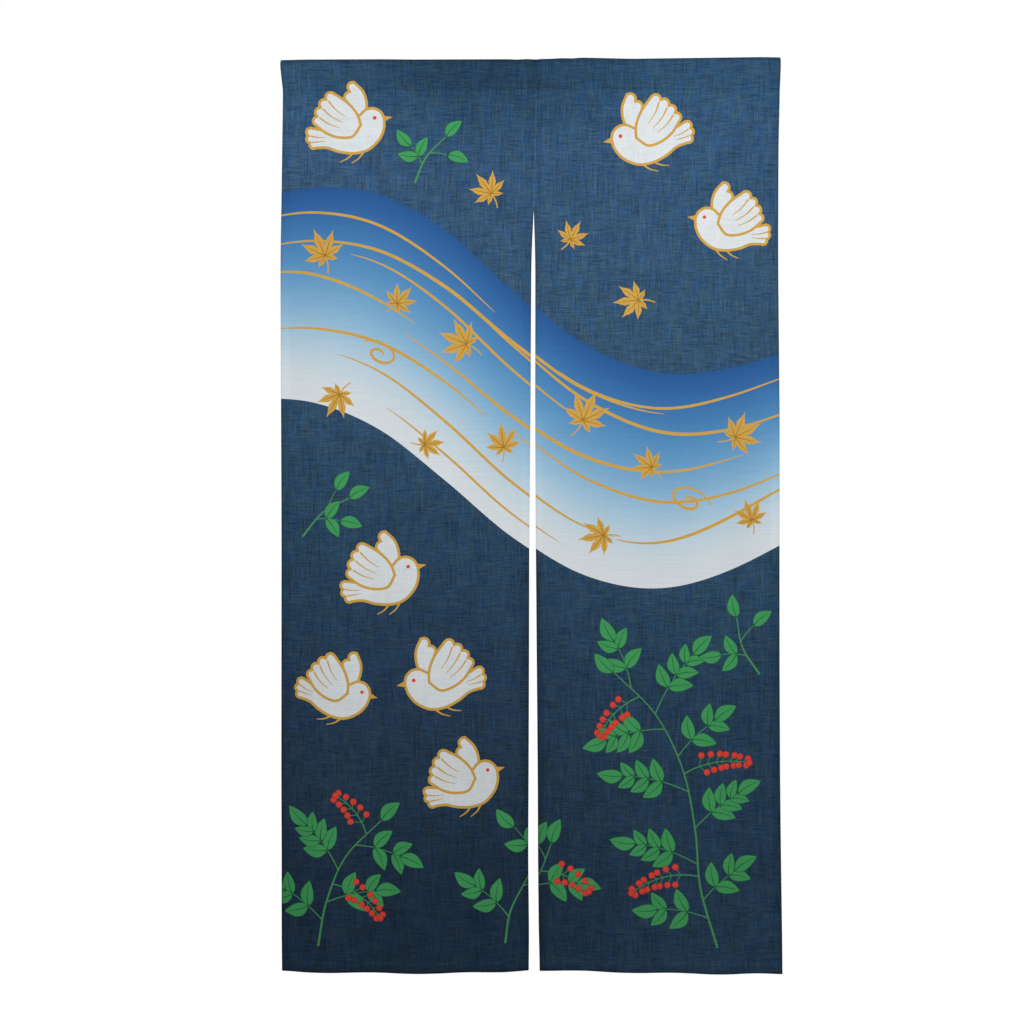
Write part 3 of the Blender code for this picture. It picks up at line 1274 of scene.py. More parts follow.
@dataclass
class PrintDesign:
    """The whole print: ground, stream, leaves, sprigs and birds, in the order in which they are laid."""

    GROUND_IN_WATER = 0.05  # how far the ground's crossed threads show in the stream
    GROUND_IN_INK = 0.16  # and in every other ink

    ground: Ground = field(default_factory=Ground)
    stream: Stream = field(default_factory=Stream)
    leaves: tuple[MapleLeaf, ...] = rows_of(
        MapleLeaf,
        ((-340, 326), 46, 24), ((-222, 404), 36, -42), ((-106, 470), 48, 68), ((-44, 640), 40, 8),
        ((78, 596), 50, -24), ((190, 672), 37, 54), ((326, 622), 46, -62), ((112, 784), 42, 100),
        ((-316, 552), 42, 150), ((-176, 634), 34, -84), ((354, 758), 36, 20), ((-70, 224), 40, 38),
        ((58, 300), 34, -30), ((170, 398), 42, 96),
    )
    sprigs: tuple[Sprig, ...] = (
        Sprig(
            ((292, 1456), (266, 1360), (258, 1262), (238, 1164), (194, 1076), (126, 1008)),
            (
                Stalk(0.10, 54, 84, 2), Stalk(0.17, -50, 72, 2), Stalk(0.29, 58, 108, 3),
                Stalk(0.41, -48, 92, 3), Stalk(0.52, 54, 112, 3), Stalk(0.63, -56, 86, 2),
                Stalk(0.74, 60, 98, 3), Stalk(0.81, -58, 118, 3), Stalk(0.92, -40, 82, 2),
            ),
            (Stalk(0.24, 76, 118, 7), Stalk(0.58, -74, 112, 7), Stalk(0.88, 66, 96, 6)),
            43.0,
        ),
        Sprig(
            ((-352, 1456), (-338, 1384), (-306, 1310), (-246, 1250)),
            (
                Stalk(0.20, 52, 78, 2), Stalk(0.34, -50, 84, 2), Stalk(0.58, 50, 90, 3),
                Stalk(0.78, -48, 78, 2),
            ),
            (Stalk(0.48, -82, 100, 6), Stalk(0.86, 64, 84, 5)),
            43.0,
        ),
        Sprig(
            ((-40, 1452), (-30, 1398), (4, 1336), (22, 1290)),
            (Stalk(0.28, 50, 76, 2), Stalk(0.52, -46, 72, 2), Stalk(0.80, 44, 66, 1)),
            (Stalk(0.66, -64, 88, 5),),
            42.0,
        ),
        Sprig(
            ((-196, 206), (-178, 164), (-146, 130)),
            (Stalk(0.35, 44, 36, 1), Stalk(0.6, -46, 30, 0)),
            leaflet=36.0,
        ),
        Sprig(
            ((-378, 786), (-344, 746), (-300, 722)),
            (Stalk(0.35, -42, 40, 1), Stalk(0.6, 44, 34, 0)),
            leaflet=38.0,
        ),
        Sprig(
            ((366, 1010), (338, 966), (328, 916)),
            (Stalk(0.35, 44, 42, 1), Stalk(0.6, -44, 34, 0)),
            leaflet=38.0,
        ),
    )
    birds: tuple[Plover, ...] = rows_of(
        Plover,
        ((-302, 124), 132, 14, False),
        ((186, 138), 136, 8, True),
        ((316, 284), 126, -12, True),
        ((-240, 862), 136, 18, False),
        ((-322, 1048), 126, -8, False),
        ((-146, 1030), 136, 6, True),
        ((-104, 1196), 130, 20, False),
    )

    @cached_property
    def shapes(self) -> list[Shape]:
        """Every inked shape.

        Returns:
            The shapes, the lowest first.
        """
        made = self.stream.shapes()
        for group in (self.leaves, self.sprigs, self.birds):
            for motif in group:
                made += motif.shapes()
        return made

    def printed(self, corners: Array) -> tuple[Array, Array]:
        """The print on small patches of the cloth.

        Args:
            corners: each patch's corners, over and down in mm.

        Returns:
            The colour at each corner, and how far the ground's own pattern shows in each patch.
        """
        middles = corners.mean(1)
        over, down = corners.reshape(-1, 2).T
        shape_of_all = (*corners.shape[:2], 3)
        colours = self.ground.colour(over, down).reshape(shape_of_all)
        water = self.stream.colour(over, down).reshape(shape_of_all)
        bare = np.ones(len(middles))
        for shape in self.shapes:
            low, high = shape.outline.min(0), shape.outline.max(0)
            close = np.flatnonzero(((middles >= low) & (middles <= high)).all(1))
            hit = close[inside(middles[close], shape.outline)] if len(close) else close
            wet = shape.ink is Ink.STREAM
            colours[hit] = water[hit] if wet else np.array(shape.ink.value)
            bare[hit] = self.GROUND_IN_WATER if wet else self.GROUND_IN_INK
        return colours, bare


# ---- Finishes ----


def add_node(
    tree: bpy.types.NodeTree, kind: str, inputs: dict | None = None, **settings: object
) -> bpy.types.Node:
    """Adds a node to a tree, its settings first and then what goes to its sockets.

    Args:
        tree: the material's, room's or stitches' node tree.
        kind: the node's type.
        inputs: what goes to its sockets, by name or number: a value, or another node's socket.
        **settings: the node's own properties.

    Returns:
        The node.
    """
    made = tree.nodes.new(kind)
    for key, value in settings.items():
        setattr(made, key, value)
    for key, value in (inputs or {}).items():
        if isinstance(value, Socket):
            tree.links.new(value, made.inputs[key])
        else:
            made.inputs[key].default_value = value
    return made


def add_math(tree: bpy.types.NodeTree, kind: str, *terms: object) -> Socket:
    """The result of a Math node on values or sockets."""
    return add_node(tree, "ShaderNodeMath", dict(enumerate(terms)), operation=kind).outputs[0]


class NodeSheet:
    """A material's node tree, with short ways to add and join nodes."""

    def __init__(self, name: str) -> None:
        """Makes a material with one Principled shader.

        Args:
            name: the material's name.
        """
        self.material = bpy.data.materials.new(name)
        self.material.use_nodes = True
        self.tree = self.material.node_tree
        self.shader = self.tree.nodes["Principled BSDF"]
        self.node = partial(add_node, self.tree)
        self.math = partial(add_math, self.tree)

    def noise(self, vector: Socket, scale: tuple, offset: float, detail: float) -> Socket:
        """A smooth noise.

        Args:
            vector: where it is read.
            scale: how many grains it has to the metre each way.
            offset: how far it is moved, so that no two noises fall together.
            detail: how many finer layers it has.

        Returns:
            Its value, about 0.5 in the mean.
        """
        moved = (offset, 1.7 * offset, 0.0)
        mapped = self.node("ShaderNodeMapping", {"Vector": vector, "Scale": scale, "Location": moved})
        inputs = {"Vector": mapped.outputs[0], "Scale": 1.0, "Detail": detail}
        return self.node("ShaderNodeTexNoise", inputs).outputs[0]

    def scaled(self, colour: Socket, shade: Socket) -> Socket:
        """A colour made lighter or darker."""
        return self.node("ShaderNodeVectorMath", {0: colour, "Scale": shade}, operation="SCALE").outputs[0]

    def tinted(self, colour: Socket, tint: Colour) -> Socket:
        """A colour, each of its parts made stronger or weaker."""
        return self.node("ShaderNodeVectorMath", {0: colour, 1: tint}, operation="MULTIPLY").outputs[0]

    def mixed(self, share: object, first: object, second: object) -> Socket:
        """The first colour, with a share of the second one in its place."""
        return self.node("ShaderNodeMix", {0: share, 6: first, 7: second}, data_type="RGBA").outputs[2]

    def spread(self, value: Socket, low: float, high: float, start: float, end: float) -> Socket:
        """A value whose range low to high is stretched to start to end, and held there."""
        inputs = {0: value, 1: low, 2: high, 3: start, 4: end}
        return self.node("ShaderNodeMapRange", inputs, clamp=True).outputs[0]

    def surface(self, roughness: float, specular: float) -> None:
        """Sets how matt the material is and how much it shines."""
        self.shader.inputs["Roughness"].default_value = roughness
        self.shader.inputs["Specular IOR Level"].default_value = specular


class ClothSide(Enum):
    """Which side of the printed cloth is seen."""

    FACE = "face"
    BACK = "back"


@dataclass(frozen=True)
class PrintedCloth:
    """Matt plain-woven cloth, printed on one side, with the ground's crossed slubs.

    Attributes:
        roughness: how matt it is.
        slub: how strongly the ground's slubs darken and lighten it.
        slub_pitch: how wide one printed thread of the ground is.
        cloud: how strongly it darkens and lightens from one patch to the next.
        cool: the tint of its cooler patches.
        warm: the tint of its warmer patches.
        rib: how strongly its weft shows in the pale parts.
        gap: how much darker painted shade makes it between its threads than on them.
        thread: the pitch of its threads.
        lost_behind: how much of the print is lost on the back.
        bare: the colour of the unprinted cloth.
    """

    # Grains to the metre, over and down.
    CROSSING_GRAIN = (52.0, 40.0, 1.0)  # of the patches where the warp shows more
    SPECK_GRAIN = (520.0, 380.0, 1.0)
    RIB_GRAIN = (9.0, 520.0, 1.0)
    CLOUD_GRAIN = (24.0, 18.0, 1.0)
    DYE_GRAIN = (58.0, 44.0, 1.0)
    WARP_STRETCH = 40 * MM  # how long a light or dark stretch of a printed thread is
    WEFT_STRETCH = 26 * MM

    roughness: float = 0.92
    slub: float = 0.55
    slub_pitch: float = 1.7 * MM
    cloud: float = 0.07
    cool: Colour = (0.87, 0.97, 1.07)
    warm: Colour = (1.15, 1.03, 0.92)
    rib: float = 0.035
    gap: float = 0.22
    thread: float = 0.62 * MM
    lost_behind: float = 0.24
    bare: Colour = (0.66, 0.68, 0.70)

    def threads(self, sheet: NodeSheet, uv: Socket, across: int, length: float) -> Socket:
        """Thread upon thread, each lighter and darker along its way.

        Args:
            sheet: the material.
            uv: where on the cloth.
            across: the axis across the threads, 0 for the warp and 1 for the weft.
            length: how long a light or dark stretch is.

        Returns:
            A value from -1 to 1.
        """
        step = [1e-6, 1e-6, 1.0]
        step[across] = self.slub_pitch
        scale = [1.0 / length, 1.0 / length, 1.0]
        scale[across] = 5.3 / self.slub_pitch
        single = sheet.node("ShaderNodeVectorMath", {0: uv, 1: step}, operation="SNAP").outputs[0]
        noise = sheet.noise(single, tuple(scale), 3.1 + 5.6 * across, 2.0)
        return sheet.spread(noise, 0.32, 0.68, -1.0, 1.0)

    def slubs(self, sheet: NodeSheet, uv: Socket) -> Socket:
        """Weft and warp one over the other, now the one stronger and now the other, with fine specks.

        Args:
            sheet: the material.
            uv: where on the cloth.

        Returns:
            A value from about -1 to 1.
        """
        patch = sheet.spread(sheet.noise(uv, self.CROSSING_GRAIN, 5.3, 1.0), 0.38, 0.62, 0.28, 0.56)
        warp = self.threads(sheet, uv, 0, self.WARP_STRETCH)
        weft = self.threads(sheet, uv, 1, self.WEFT_STRETCH)
        lower = sheet.math("MULTIPLY", weft, sheet.math("SUBTRACT", 0.84, patch))
        specks = sheet.spread(sheet.noise(uv, self.SPECK_GRAIN, 8.7, 0.0), 0.25, 0.75, -0.28, 0.28)
        return sheet.math("ADD", sheet.math("MULTIPLY_ADD", warp, patch, lower), specks)

    def dyed_and_shaded(self, sheet: NodeSheet, uv: Socket, streak: Socket, weave: Socket) -> Socket:
        """The printed cloth's colour, with painted shade between its threads.

        Args:
            sheet: the material.
            uv: where on the cloth.
            streak: the ground's slubs.
            weave: the height of the weave.

        Returns:
            The print, with painted shade between the threads of the weave, shaded by ribs, and on the
            ground by slubs and patches as well.
        """
        ink = sheet.node("ShaderNodeAttribute", attribute_name="print").outputs["Color"]
        ground = sheet.node("ShaderNodeAttribute", attribute_name="ground").outputs["Fac"]
        rib = sheet.spread(sheet.noise(uv, self.RIB_GRAIN, 1.3, 1.0), 0.3, 0.7, -self.rib, self.rib)
        patches = sheet.noise(uv, self.CLOUD_GRAIN, 9.9, 1.0)
        cloud = sheet.spread(patches, 0.3, 0.7, -self.cloud, self.cloud)
        on_ground = sheet.math("MULTIPLY", ground, sheet.math("MULTIPLY_ADD", streak, self.slub, cloud))
        # painted shade between the threads
        thread_gap_shade = sheet.math("MULTIPLY_ADD", sheet.math("ABSOLUTE", weave), self.gap, 1.0 - 0.4 * self.gap)
        toned = sheet.scaled(ink, sheet.math("ADD", sheet.math("ADD", rib, thread_gap_shade), on_ground))
        drift = sheet.spread(sheet.noise(uv, self.DYE_GRAIN, 6.1, 2.0), 0.35, 0.65, 0.0, 1.0)
        dyes = sheet.mixed(drift, sheet.tinted(toned, self.cool), sheet.tinted(toned, self.warm))
        return sheet.mixed(ground, toned, dyes)

    def build(self, side: ClothSide) -> bpy.types.Material:
        """The material for one side of the cloth.

        Args:
            side: the printed face or the back.

        Returns:
            The material.
        """
        sheet = NodeSheet("printed_cloth_" + side.value)
        uv = sheet.node("ShaderNodeUVMap", uv_map="cloth").outputs[0]
        streak = self.slubs(sheet, uv)
        weave = self.weave(sheet, uv)
        colour = self.dyed_and_shaded(sheet, uv, streak, weave)
        if side is ClothSide.BACK:
            colour = sheet.mixed(self.lost_behind, colour, (*self.bare, 1.0))
        sheet.tree.links.new(colour, sheet.shader.inputs["Base Color"])
        height = sheet.math("MULTIPLY_ADD", streak, 0.35, weave)
        bump = sheet.node("ShaderNodeBump", {"Height": height, "Distance": 0.05 * MM, "Strength": 0.5})
        sheet.tree.links.new(bump.outputs[0], sheet.shader.inputs["Normal"])
        sheet.surface(self.roughness, 0.08)
        sheet.shader.inputs["Sheen Weight"].default_value = 0.02
        sheet.shader.inputs["Sheen Roughness"].default_value = 0.5
        return sheet.material

    def weave(self, sheet: NodeSheet, uv: Socket) -> Socket:
        """The over and under of a plain weave.

        Args:
            sheet: the material.
            uv: where on the cloth.

        Returns:
            Its height, from -1 to 1.
        """
        parts = sheet.node("ShaderNodeSeparateXYZ", {0: uv}).outputs
        turn = math.pi / self.thread
        warp = sheet.math("SINE", sheet.math("MULTIPLY", parts[0], turn))
        weft = sheet.math("SINE", sheet.math("MULTIPLY", parts[1], turn))
        return sheet.math("MULTIPLY", warp, weft)


@dataclass(frozen=True)
class SewingThread:
    """Fine clear thread, which takes the colour of the print under it and shows the twist of its plies.

    Attributes:
        tint: how much of the print's colour comes through it; the darkening that is left is painted shade
            on the stitch lines.
        twist: how much lighter and darker its plies are.
        roughness: how matt it is.
    """

    tint: float = 0.76
    twist: float = 0.12
    roughness: float = 0.6

    def build(self) -> bpy.types.Material:
        """The thread's material.

        Returns:
            The material.
        """
        sheet = NodeSheet("sewing_thread")
        place = sheet.node("ShaderNodeTexCoord").outputs["Object"]
        noise = sheet.noise(place, (2500.0, 2500.0, 2500.0), 0.0, 1.0)
        # the print under the clear thread, darkened by painted shade
        shade = sheet.spread(noise, 0.3, 0.7, self.tint - self.twist, self.tint + self.twist)
        ink = sheet.node("ShaderNodeAttribute", attribute_name="print").outputs["Color"]
        sheet.tree.links.new(sheet.scaled(ink, shade), sheet.shader.inputs["Base Color"])
        sheet.surface(self.roughness, 0.3)
        return sheet.material


# ---- The panels ----


CHART_MARGIN = 12.0 * MM  # of bare map round the face and round the back
CHART_RIM = 3.0 * MM  # how wide the cut edge lies on the map


class Band(NamedTuple):
    """Painted light about a place past a line, or painted shade for a minus.

    The place and how far it reaches are in mm. The strengths are for navy and for pale ink.
    """

    place: float
    reach: float
    navy: float
    pale: float

    def at(self, distance: Array, pale: Array) -> Array:
        """What it adds to the shade at a distance in metres, on ink that is pale by a share."""
        return between(self.navy, self.pale, pale) * near(distance - self.place * MM, self.reach * MM)


class Strip(NamedTuple):
    """Painted light beside a line, or painted shade for a minus.

    It ends at a distance and fades over a soft width before that, both in mm. The strengths are for
    navy and for pale ink.
    """

    end: float
    soft: float
    navy: float
    pale: float

    def share(self, distance: Array) -> Array:
        """1 within it and 0 past it, at a distance in metres."""
        return eased((self.end * MM - distance) / (self.soft * MM))

    def at(self, distance: Array, pale: Array) -> Array:
        """What it adds to the shade at a distance in metres, on ink that is pale by a share."""
        return between(self.navy, self.pale, pale) * self.share(distance)


HEM_RIDGE_HIGHLIGHT = Band(15.2, 3.0, 0.18, 0.06)  # painted highlight above the foot, over the bottom hem's inner edge
SEAM_HEM_HIGHLIGHT = Band(3.0, 3.6, 0.09, 0.09)  # painted highlight past the inner edge of the hem at the seam, in the upper part
HEADING_SHADE_LINE = Band(41.3, 2.6, -0.05, -0.05)  # painted shade in a soft line across the heading, below the crown
SLIT_SHADE = Band(0.0, 10.5, -0.25, -0.0375)  # painted shade along the slit's sides, as of a slight roll, in the lower part
SIDE_SHADE = Band(0.0, 7.5, -0.17, -0.0255)  # painted shade along the outer sides, the same
# painted shade along the foot
FOOT_SHADE = Band(0.0, 3.4, -0.30, -0.045)
HEM_LAYER_SHADE = Strip(15.2, 1.0, -0.08, 0.05)  # painted shade on navy and painted light on pale ink over the doubled cloth, above the foot, and as strong along the side hems
FOLD_SHADE = Strip(2.6, 1.6, -0.40, -0.08)  # painted shade along the line of every fold
CROWN_SHADE = Strip(17.0, 9.0, -0.10, -0.05)  # painted shade either way from the crown
SEAM_PAINTED_LIGHT = Strip(1.3, 0.9, 0.50, 0.50)  # painted light along the folds of the centre seam


class FlatMesh(NamedTuple):
    """The flat cloth, cut into triangles along its folds and its print.

    The print faces the viewer where a triangle's corners run clockwise, with down as the second axis.
    """

    points: Array
    triangles: Array
    rim: Array


@dataclass
class Panel:
    """One printed panel: a single sheet, hemmed at its sides and foot, its top turned over as the pocket.

    Attributes:
        name: the piece's name.
        hang: how it hangs.
        design: the whole curtain's print.
        pitch: the spacing of the plain grid.
    """

    name: str
    hang: Hang
    design: PrintDesign
    pitch: float = 8.0 * MM

    # Where the grid is cut besides, in mm: the cuts lie closer where the cloth bends or changes shade.
    FROM_SIDE = (2.0, 4.5)
    FROM_SIDE_HEM = (-5.0, -2.0, -0.75, 0.5, 3.0, 6.5)  # in from its inner edge
    OVER_CROWN = np.linspace(-11.4, 11.4, 25)
    FROM_CROWN = (13.0, 18.0, 25.0, 32.0, 39.0, 45.5, 49.5, 51.6, 53.0)  # in the pocket, both ways
    BELOW_POCKET = (54.4, 56.5, 60.5)  # from the crown
    FROM_FOOT = (20.0, 18.0, 16.3, 14.6, 13.0, 9.0, 5.0, 2.8)
    PLAIN_FROM = 67.0  # the plain grid starts this far below the crown
    PLAIN_TO = 25.0  # and ends this far above the foot

    @property
    def turned_sides(self) -> list[float]:
        """The cloth past the panel's left side and its right side: the fold and the hem."""
        return [math.pi * HEM_RADIUS + hem - 2.0 * EDGE for hem in self.hang.hems]

    @property
    def turned_foot(self) -> float:
        """The cloth past a panel's lowest line: the fold and the hem."""
        return BOTTOM_ARC - BOTTOM_ARC_START + BOTTOM_HEM - BOTTOM_ARC_START

    def columns(self) -> tuple[Array, Array]:
        """Where the grid is cut across the panel.

        Returns:
            The cuts, and those of them that are creases, which no triangle crosses.
        """
        width = self.hang.width
        arc = np.linspace(EDGE - math.pi * HEM_RADIUS, EDGE, 7)
        sides = []
        creases = []
        for hem, turned in zip(self.hang.hems, self.turned_sides):
            under = np.linspace(-turned, arc[0], 4)[:-1]
            beside = hem + np.array(self.FROM_SIDE_HEM) * MM
            sides.append(np.concatenate([under, arc, np.array(self.FROM_SIDE) * MM, beside]))
            creases.append(np.append(arc, -turned))
        left, right = sides[0], width - sides[1][::-1]
        inner = np.linspace(left[-1], right[0], round((right[0] - left[-1]) / self.pitch) + 1)[1:-1]
        return np.concatenate([left, inner, right]), np.concatenate([creases[0], width - creases[1]])

    def rows(self) -> tuple[Array, Array]:
        """Where the grid is cut down the panel.

        Returns:
            The cuts, and those of them that are creases, which no triangle crosses.
        """
        wall = np.array(self.FROM_CROWN) * MM
        top = np.concatenate([-wall[::-1], self.OVER_CROWN * MM, wall])
        below, foot = np.array(self.BELOW_POCKET) * MM, DROP - np.array(self.FROM_FOOT) * MM
        low, high = self.PLAIN_FROM * MM, DROP - self.PLAIN_TO * MM
        plain = np.linspace(low, high, round((high - low) / self.pitch) + 1)
        start = DROP - BOTTOM_ARC_START
        arc = np.linspace(start, start + BOTTOM_ARC, 9)
        end = DROP + self.turned_foot
        hem = np.linspace(start + BOTTOM_ARC, end, 4)[1:]
        turned = -STITCH_DEPTH - TURN_BACK * np.array([1.0, 0.5])
        cuts = np.concatenate([turned, top, below, plain, foot, arc, hem])
        return cuts, np.concatenate([[turned[0]], top, arc, [end]])

    def flat(self) -> FlatMesh:
        """The flat cloth, cut along its creases and the outlines of its print.

        Returns:
            The flat cloth's triangles.
        """
        columns, column_creases = self.columns()
        rows, row_creases = self.rows()
        across, down = np.meshgrid(columns / MM, rows / MM)
        grid = xy(across.ravel(), down.ravel())
        index = np.arange(len(grid)).reshape(len(rows), len(columns))
        edges = self.along_creases(index.T, columns, column_creases)
        edges += self.along_creases(index, rows, row_creases)
        low, high = grid.min(0), grid.max(0)
        groups = [grid]
        total = len(grid)
        for shape in self.design.shapes:
            outline = self.clipped(shape.outline - np.array([self.hang.over / MM, 0.0]), low, high)
            if len(outline) < 3:
                continue
            ring = total + np.arange(len(outline))
            edges += list(zip(ring, np.roll(ring, -1)))
            groups.append(outline)
            total += len(outline)
        return self.triangulated(np.vstack(groups), edges)

    @staticmethod
    def along_creases(lines: Array, cuts: Array, creases: Array) -> list[tuple[int, int]]:
        """The grid's edges, as pairs of points, along those of its lines whose cuts are creases."""
        kept = [line for line, cut in zip(lines, cuts) if np.abs(creases - cut).min() < 1e-9]
        return [edge for line in kept for edge in zip(line[:-1], line[1:])]

    @staticmethod
    def triangulated(points: Array, edges: list[tuple[int, int]]) -> FlatMesh:
        """Joins points of the flat cloth up to triangles.

        Args:
            points: the points over and down, in mm.
            edges: the edges that no triangle crosses.

        Returns:
            The flat cloth's triangles.
        """
        pairs = [(int(a), int(b)) for a, b in edges]
        made = delaunay_2d_cdt([Vector(p) for p in points], pairs, [], 0, 1e-4, False)
        flat = np.array([v[:] for v in made[0]], float) * MM
        triangles = np.array(made[2], int)
        a, b, c = (flat[triangles[:, i]] for i in range(3))
        area = (b[:, 0] - a[:, 0]) * (c[:, 1] - a[:, 1]) - (b[:, 1] - a[:, 1]) * (c[:, 0] - a[:, 0])
        triangles[area > 0] = triangles[area > 0][:, ::-1]
        triangles = triangles[np.abs(area) > 1e-12]
        sides = np.vstack([triangles[:, [0, 1]], triangles[:, [1, 2]], triangles[:, [2, 0]]])
        seen = set(map(tuple, sides))
        rim = np.array([(a, b) for a, b in map(tuple, sides) if (b, a) not in seen])
        return FlatMesh(flat, triangles, rim)

    @staticmethod
    def clipped(outline: Array, low: Array, high: Array) -> Array:
        """The part of a closed outline within a box, by cutting at each of its sides in turn.

        Args:
            outline: the outline's points in order.
            low: the box's lower corner.
            high: its upper corner.

        Returns:
            The points of what is left, fewer than three if nothing is.
        """
        for axis in (0, 1):
            for sign, bound in ((1.0, low[axis]), (-1.0, -high[axis])):
                kept = []
                for point, after in zip(outline, np.roll(outline, -1, axis=0)):
                    here, there = sign * point[axis] - bound, sign * after[axis] - bound
                    if here >= 0:
                        kept.append(point)
                    if (here >= 0) != (there >= 0):
                        kept.append(point + (after - point) * here / (here - there))
                outline = np.array(kept)
                if len(outline) < 3:
                    return outline
        return outline

    def inked(self, flat: FlatMesh) -> tuple[Array, Array]:
        """The print, with painted light and shade along the cloth's folds, hems and seams upon it.

        Args:
            flat: the flat cloth.

        Returns:
            The colour at each corner of each triangle, and how far the bare ground shows in each.
        """
        local = flat.points[flat.triangles]
        colours, bare = self.design.printed(local / MM + np.array([self.hang.over / MM, 0.0]))
        shade = self.painted_shading(local[..., 0], local[..., 1], eased(colours.mean(2) / 0.5))
        return colours * shade[..., None], bare

    def painted_shading(self, across: Array, down: Array, pale: Array) -> Array:
        """The painted light and shade along the cloth's folds, hems and seams.

        Args:
            across: how far right of the panel's left side.
            down: how far below the crown, negative down the back of the pocket.
            pale: how pale the ink is, from 0 for navy to 1.

        Returns:
            The shade, 1 for the plain cloth.
        """
        foot = DROP - down
        sides = list(self.hang.from_sides(across))
        seam = sides.pop(self.hang.sewn_side)
        past_hem = seam - self.hang.hems[self.hang.sewn_side]
        sewn = down < SLIT_TIP
        at_slit = seam + 30.0 * MM * eased((SLIT_TIP + 20.0 * MM - down) / (20.0 * MM))
        upper = eased(1.0 - np.abs(down) / (300.0 * MM))
        lower = eased((down - 150.0 * MM) / (1000.0 * MM))

        doubled = np.maximum(self.hang.on_hem(across, 0.2 * MM, 1.2 * MM), HEM_LAYER_SHADE.share(foot))
        shade = 1.0 + between(HEM_LAYER_SHADE.navy, HEM_LAYER_SHADE.pale, pale) * doubled
        shade += HEM_RIDGE_HIGHLIGHT.at(foot, pale) + FOOT_SHADE.at(foot, pale) + HEADING_SHADE_LINE.at(down, pale)
        shade += SEAM_HEM_HIGHLIGHT.at(past_hem, pale) * upper
        shade += (SLIT_SHADE.at(at_slit, pale) + SIDE_SHADE.at(sides[0], pale)) * lower

        past_slit = np.where(sewn, 9.0 * MM, seam)
        from_fold = np.min(np.abs([*sides, past_slit, foot - 0.9 * MM, 0.75 * down]), axis=0)
        shade *= 1.0 + FOLD_SHADE.at(from_fold, pale)
        shade *= 1.0 + CROWN_SHADE.at(np.abs(down), pale)
        below_stitches = eased((down - STITCH_DEPTH) / MM)
        return shade * (1.0 + SEAM_PAINTED_LIGHT.at(np.abs(seam), pale) * below_stitches * sewn)

    def build(self, face: bpy.types.Material, back: bpy.types.Material) -> bpy.types.Object:
        """The panel as one closed mesh of printed face, back and cut edge.

        Args:
            face: the printed side's material.
            back: the back's material.

        Returns:
            The panel's object.
        """
        flat = self.flat()
        middle, facing = self.hang.hung(*flat.points.T)
        count = len(flat.points)
        points = np.vstack([middle + facing * 0.5 * CLOTH, middle - facing * 0.5 * CLOTH])
        front = flat.triangles
        rear = front[:, ::-1] + count
        first, second = flat.rim.T
        rims = np.stack([second, first, first + count, second + count], axis=1)
        faces = [tuple(f) for group in (front.tolist(), rear.tolist(), rims.tolist()) for f in group]
        mesh = bpy.data.meshes.new(self.name)
        mesh.from_pydata(points.tolist(), [], faces)
        mesh.materials.append(face)
        mesh.materials.append(back)
        kinds = np.repeat([0, 1], [len(front), len(rear) + len(rims)]).astype(np.int32)
        mesh.polygons.foreach_set("material_index", kinds)
        mesh.polygons.foreach_set("use_smooth", np.ones(len(mesh.polygons), bool))
        self.dress(mesh, flat, rims)
        self.lay_out(mesh, flat, rims)
        self.shade(mesh, facing, points, rims)
        LOG.info("%s: %d points, %d faces", self.name, len(mesh.vertices), len(mesh.polygons))
        return new_object(self.name, mesh)

    def dress(self, mesh: bpy.types.Mesh, flat: FlatMesh, rims: Array) -> None:
        """Gives the mesh its print, with the painted light and shade upon it, and its place on the cloth.

        Args:
            mesh: the panel's mesh: printed faces, then back faces, then the cut edge.
            flat: the flat cloth.
            rims: the cut edge's corners.
        """
        colours, ground = self.inked(flat)
        front, count = flat.triangles, len(flat.points)
        at_point = np.zeros((count, 3))
        at_point[front.ravel()] = colours.reshape(-1, 3)
        edge = at_point[rims % count].reshape(-1, 3)
        every = np.vstack([colours.reshape(-1, 3), colours[:, ::-1].reshape(-1, 3), edge])
        every = np.hstack([every, np.ones((len(every), 1))]).astype(np.float32)
        # the print colours carry the painted light and shade of the folds, hems and seams
        mesh.color_attributes.new("print", "FLOAT_COLOR", "CORNER").data.foreach_set("color", every.ravel())
        share = np.concatenate([np.repeat(ground, 3), np.repeat(ground, 3), np.ones(rims.size)])
        mesh.attributes.new("ground", "FLOAT", "CORNER").data.foreach_set("value", share.astype(np.float32))

        place = flat.points + np.array([self.hang.over, 0.0])
        order = np.concatenate([front.ravel(), front[:, ::-1].ravel(), rims.ravel() % count])
        mesh.uv_layers.new(name="cloth").uv.foreach_set("vector", place[order].astype(np.float32).ravel())

    @staticmethod
    def lay_out(mesh: bpy.types.Mesh, flat: FlatMesh, rims: Array) -> None:
        """Adds a map from 0 to 1: on the left the face, with the cut edge round it, on the right the back.

        Args:
            mesh: the panel's mesh: printed faces, then back faces, then the cut edge.
            flat: the flat cloth.
            rims: the cut edge's corners.
        """
        front, count = flat.triangles, len(flat.points)
        low, high = flat.points.min(0), flat.points.max(0)
        scale = 1.0 / (high[1] - low[1] + 2 * CHART_MARGIN)
        chart = (flat.points - low + CHART_MARGIN) * scale
        shifted = chart + np.array([(high[0] - low[0] + 2 * CHART_MARGIN) * scale, 0.0])
        outward = (high - flat.points < 1e-7).astype(float) - (flat.points - low < 1e-7)
        rim_chart = chart + outward * CHART_RIM * scale
        edge = np.where((rims < count)[:, :, None], chart[rims % count], rim_chart[rims % count])
        uv = np.vstack([chart[front.ravel()], shifted[front[:, ::-1].ravel()], edge.reshape(-1, 2)])
        mesh.uv_layers.new(name="OFBake").uv.foreach_set("vector", uv.astype(np.float32).ravel())
        mesh.uv_layers["cloth"].active = True
        mesh.uv_layers["cloth"].active_render = True

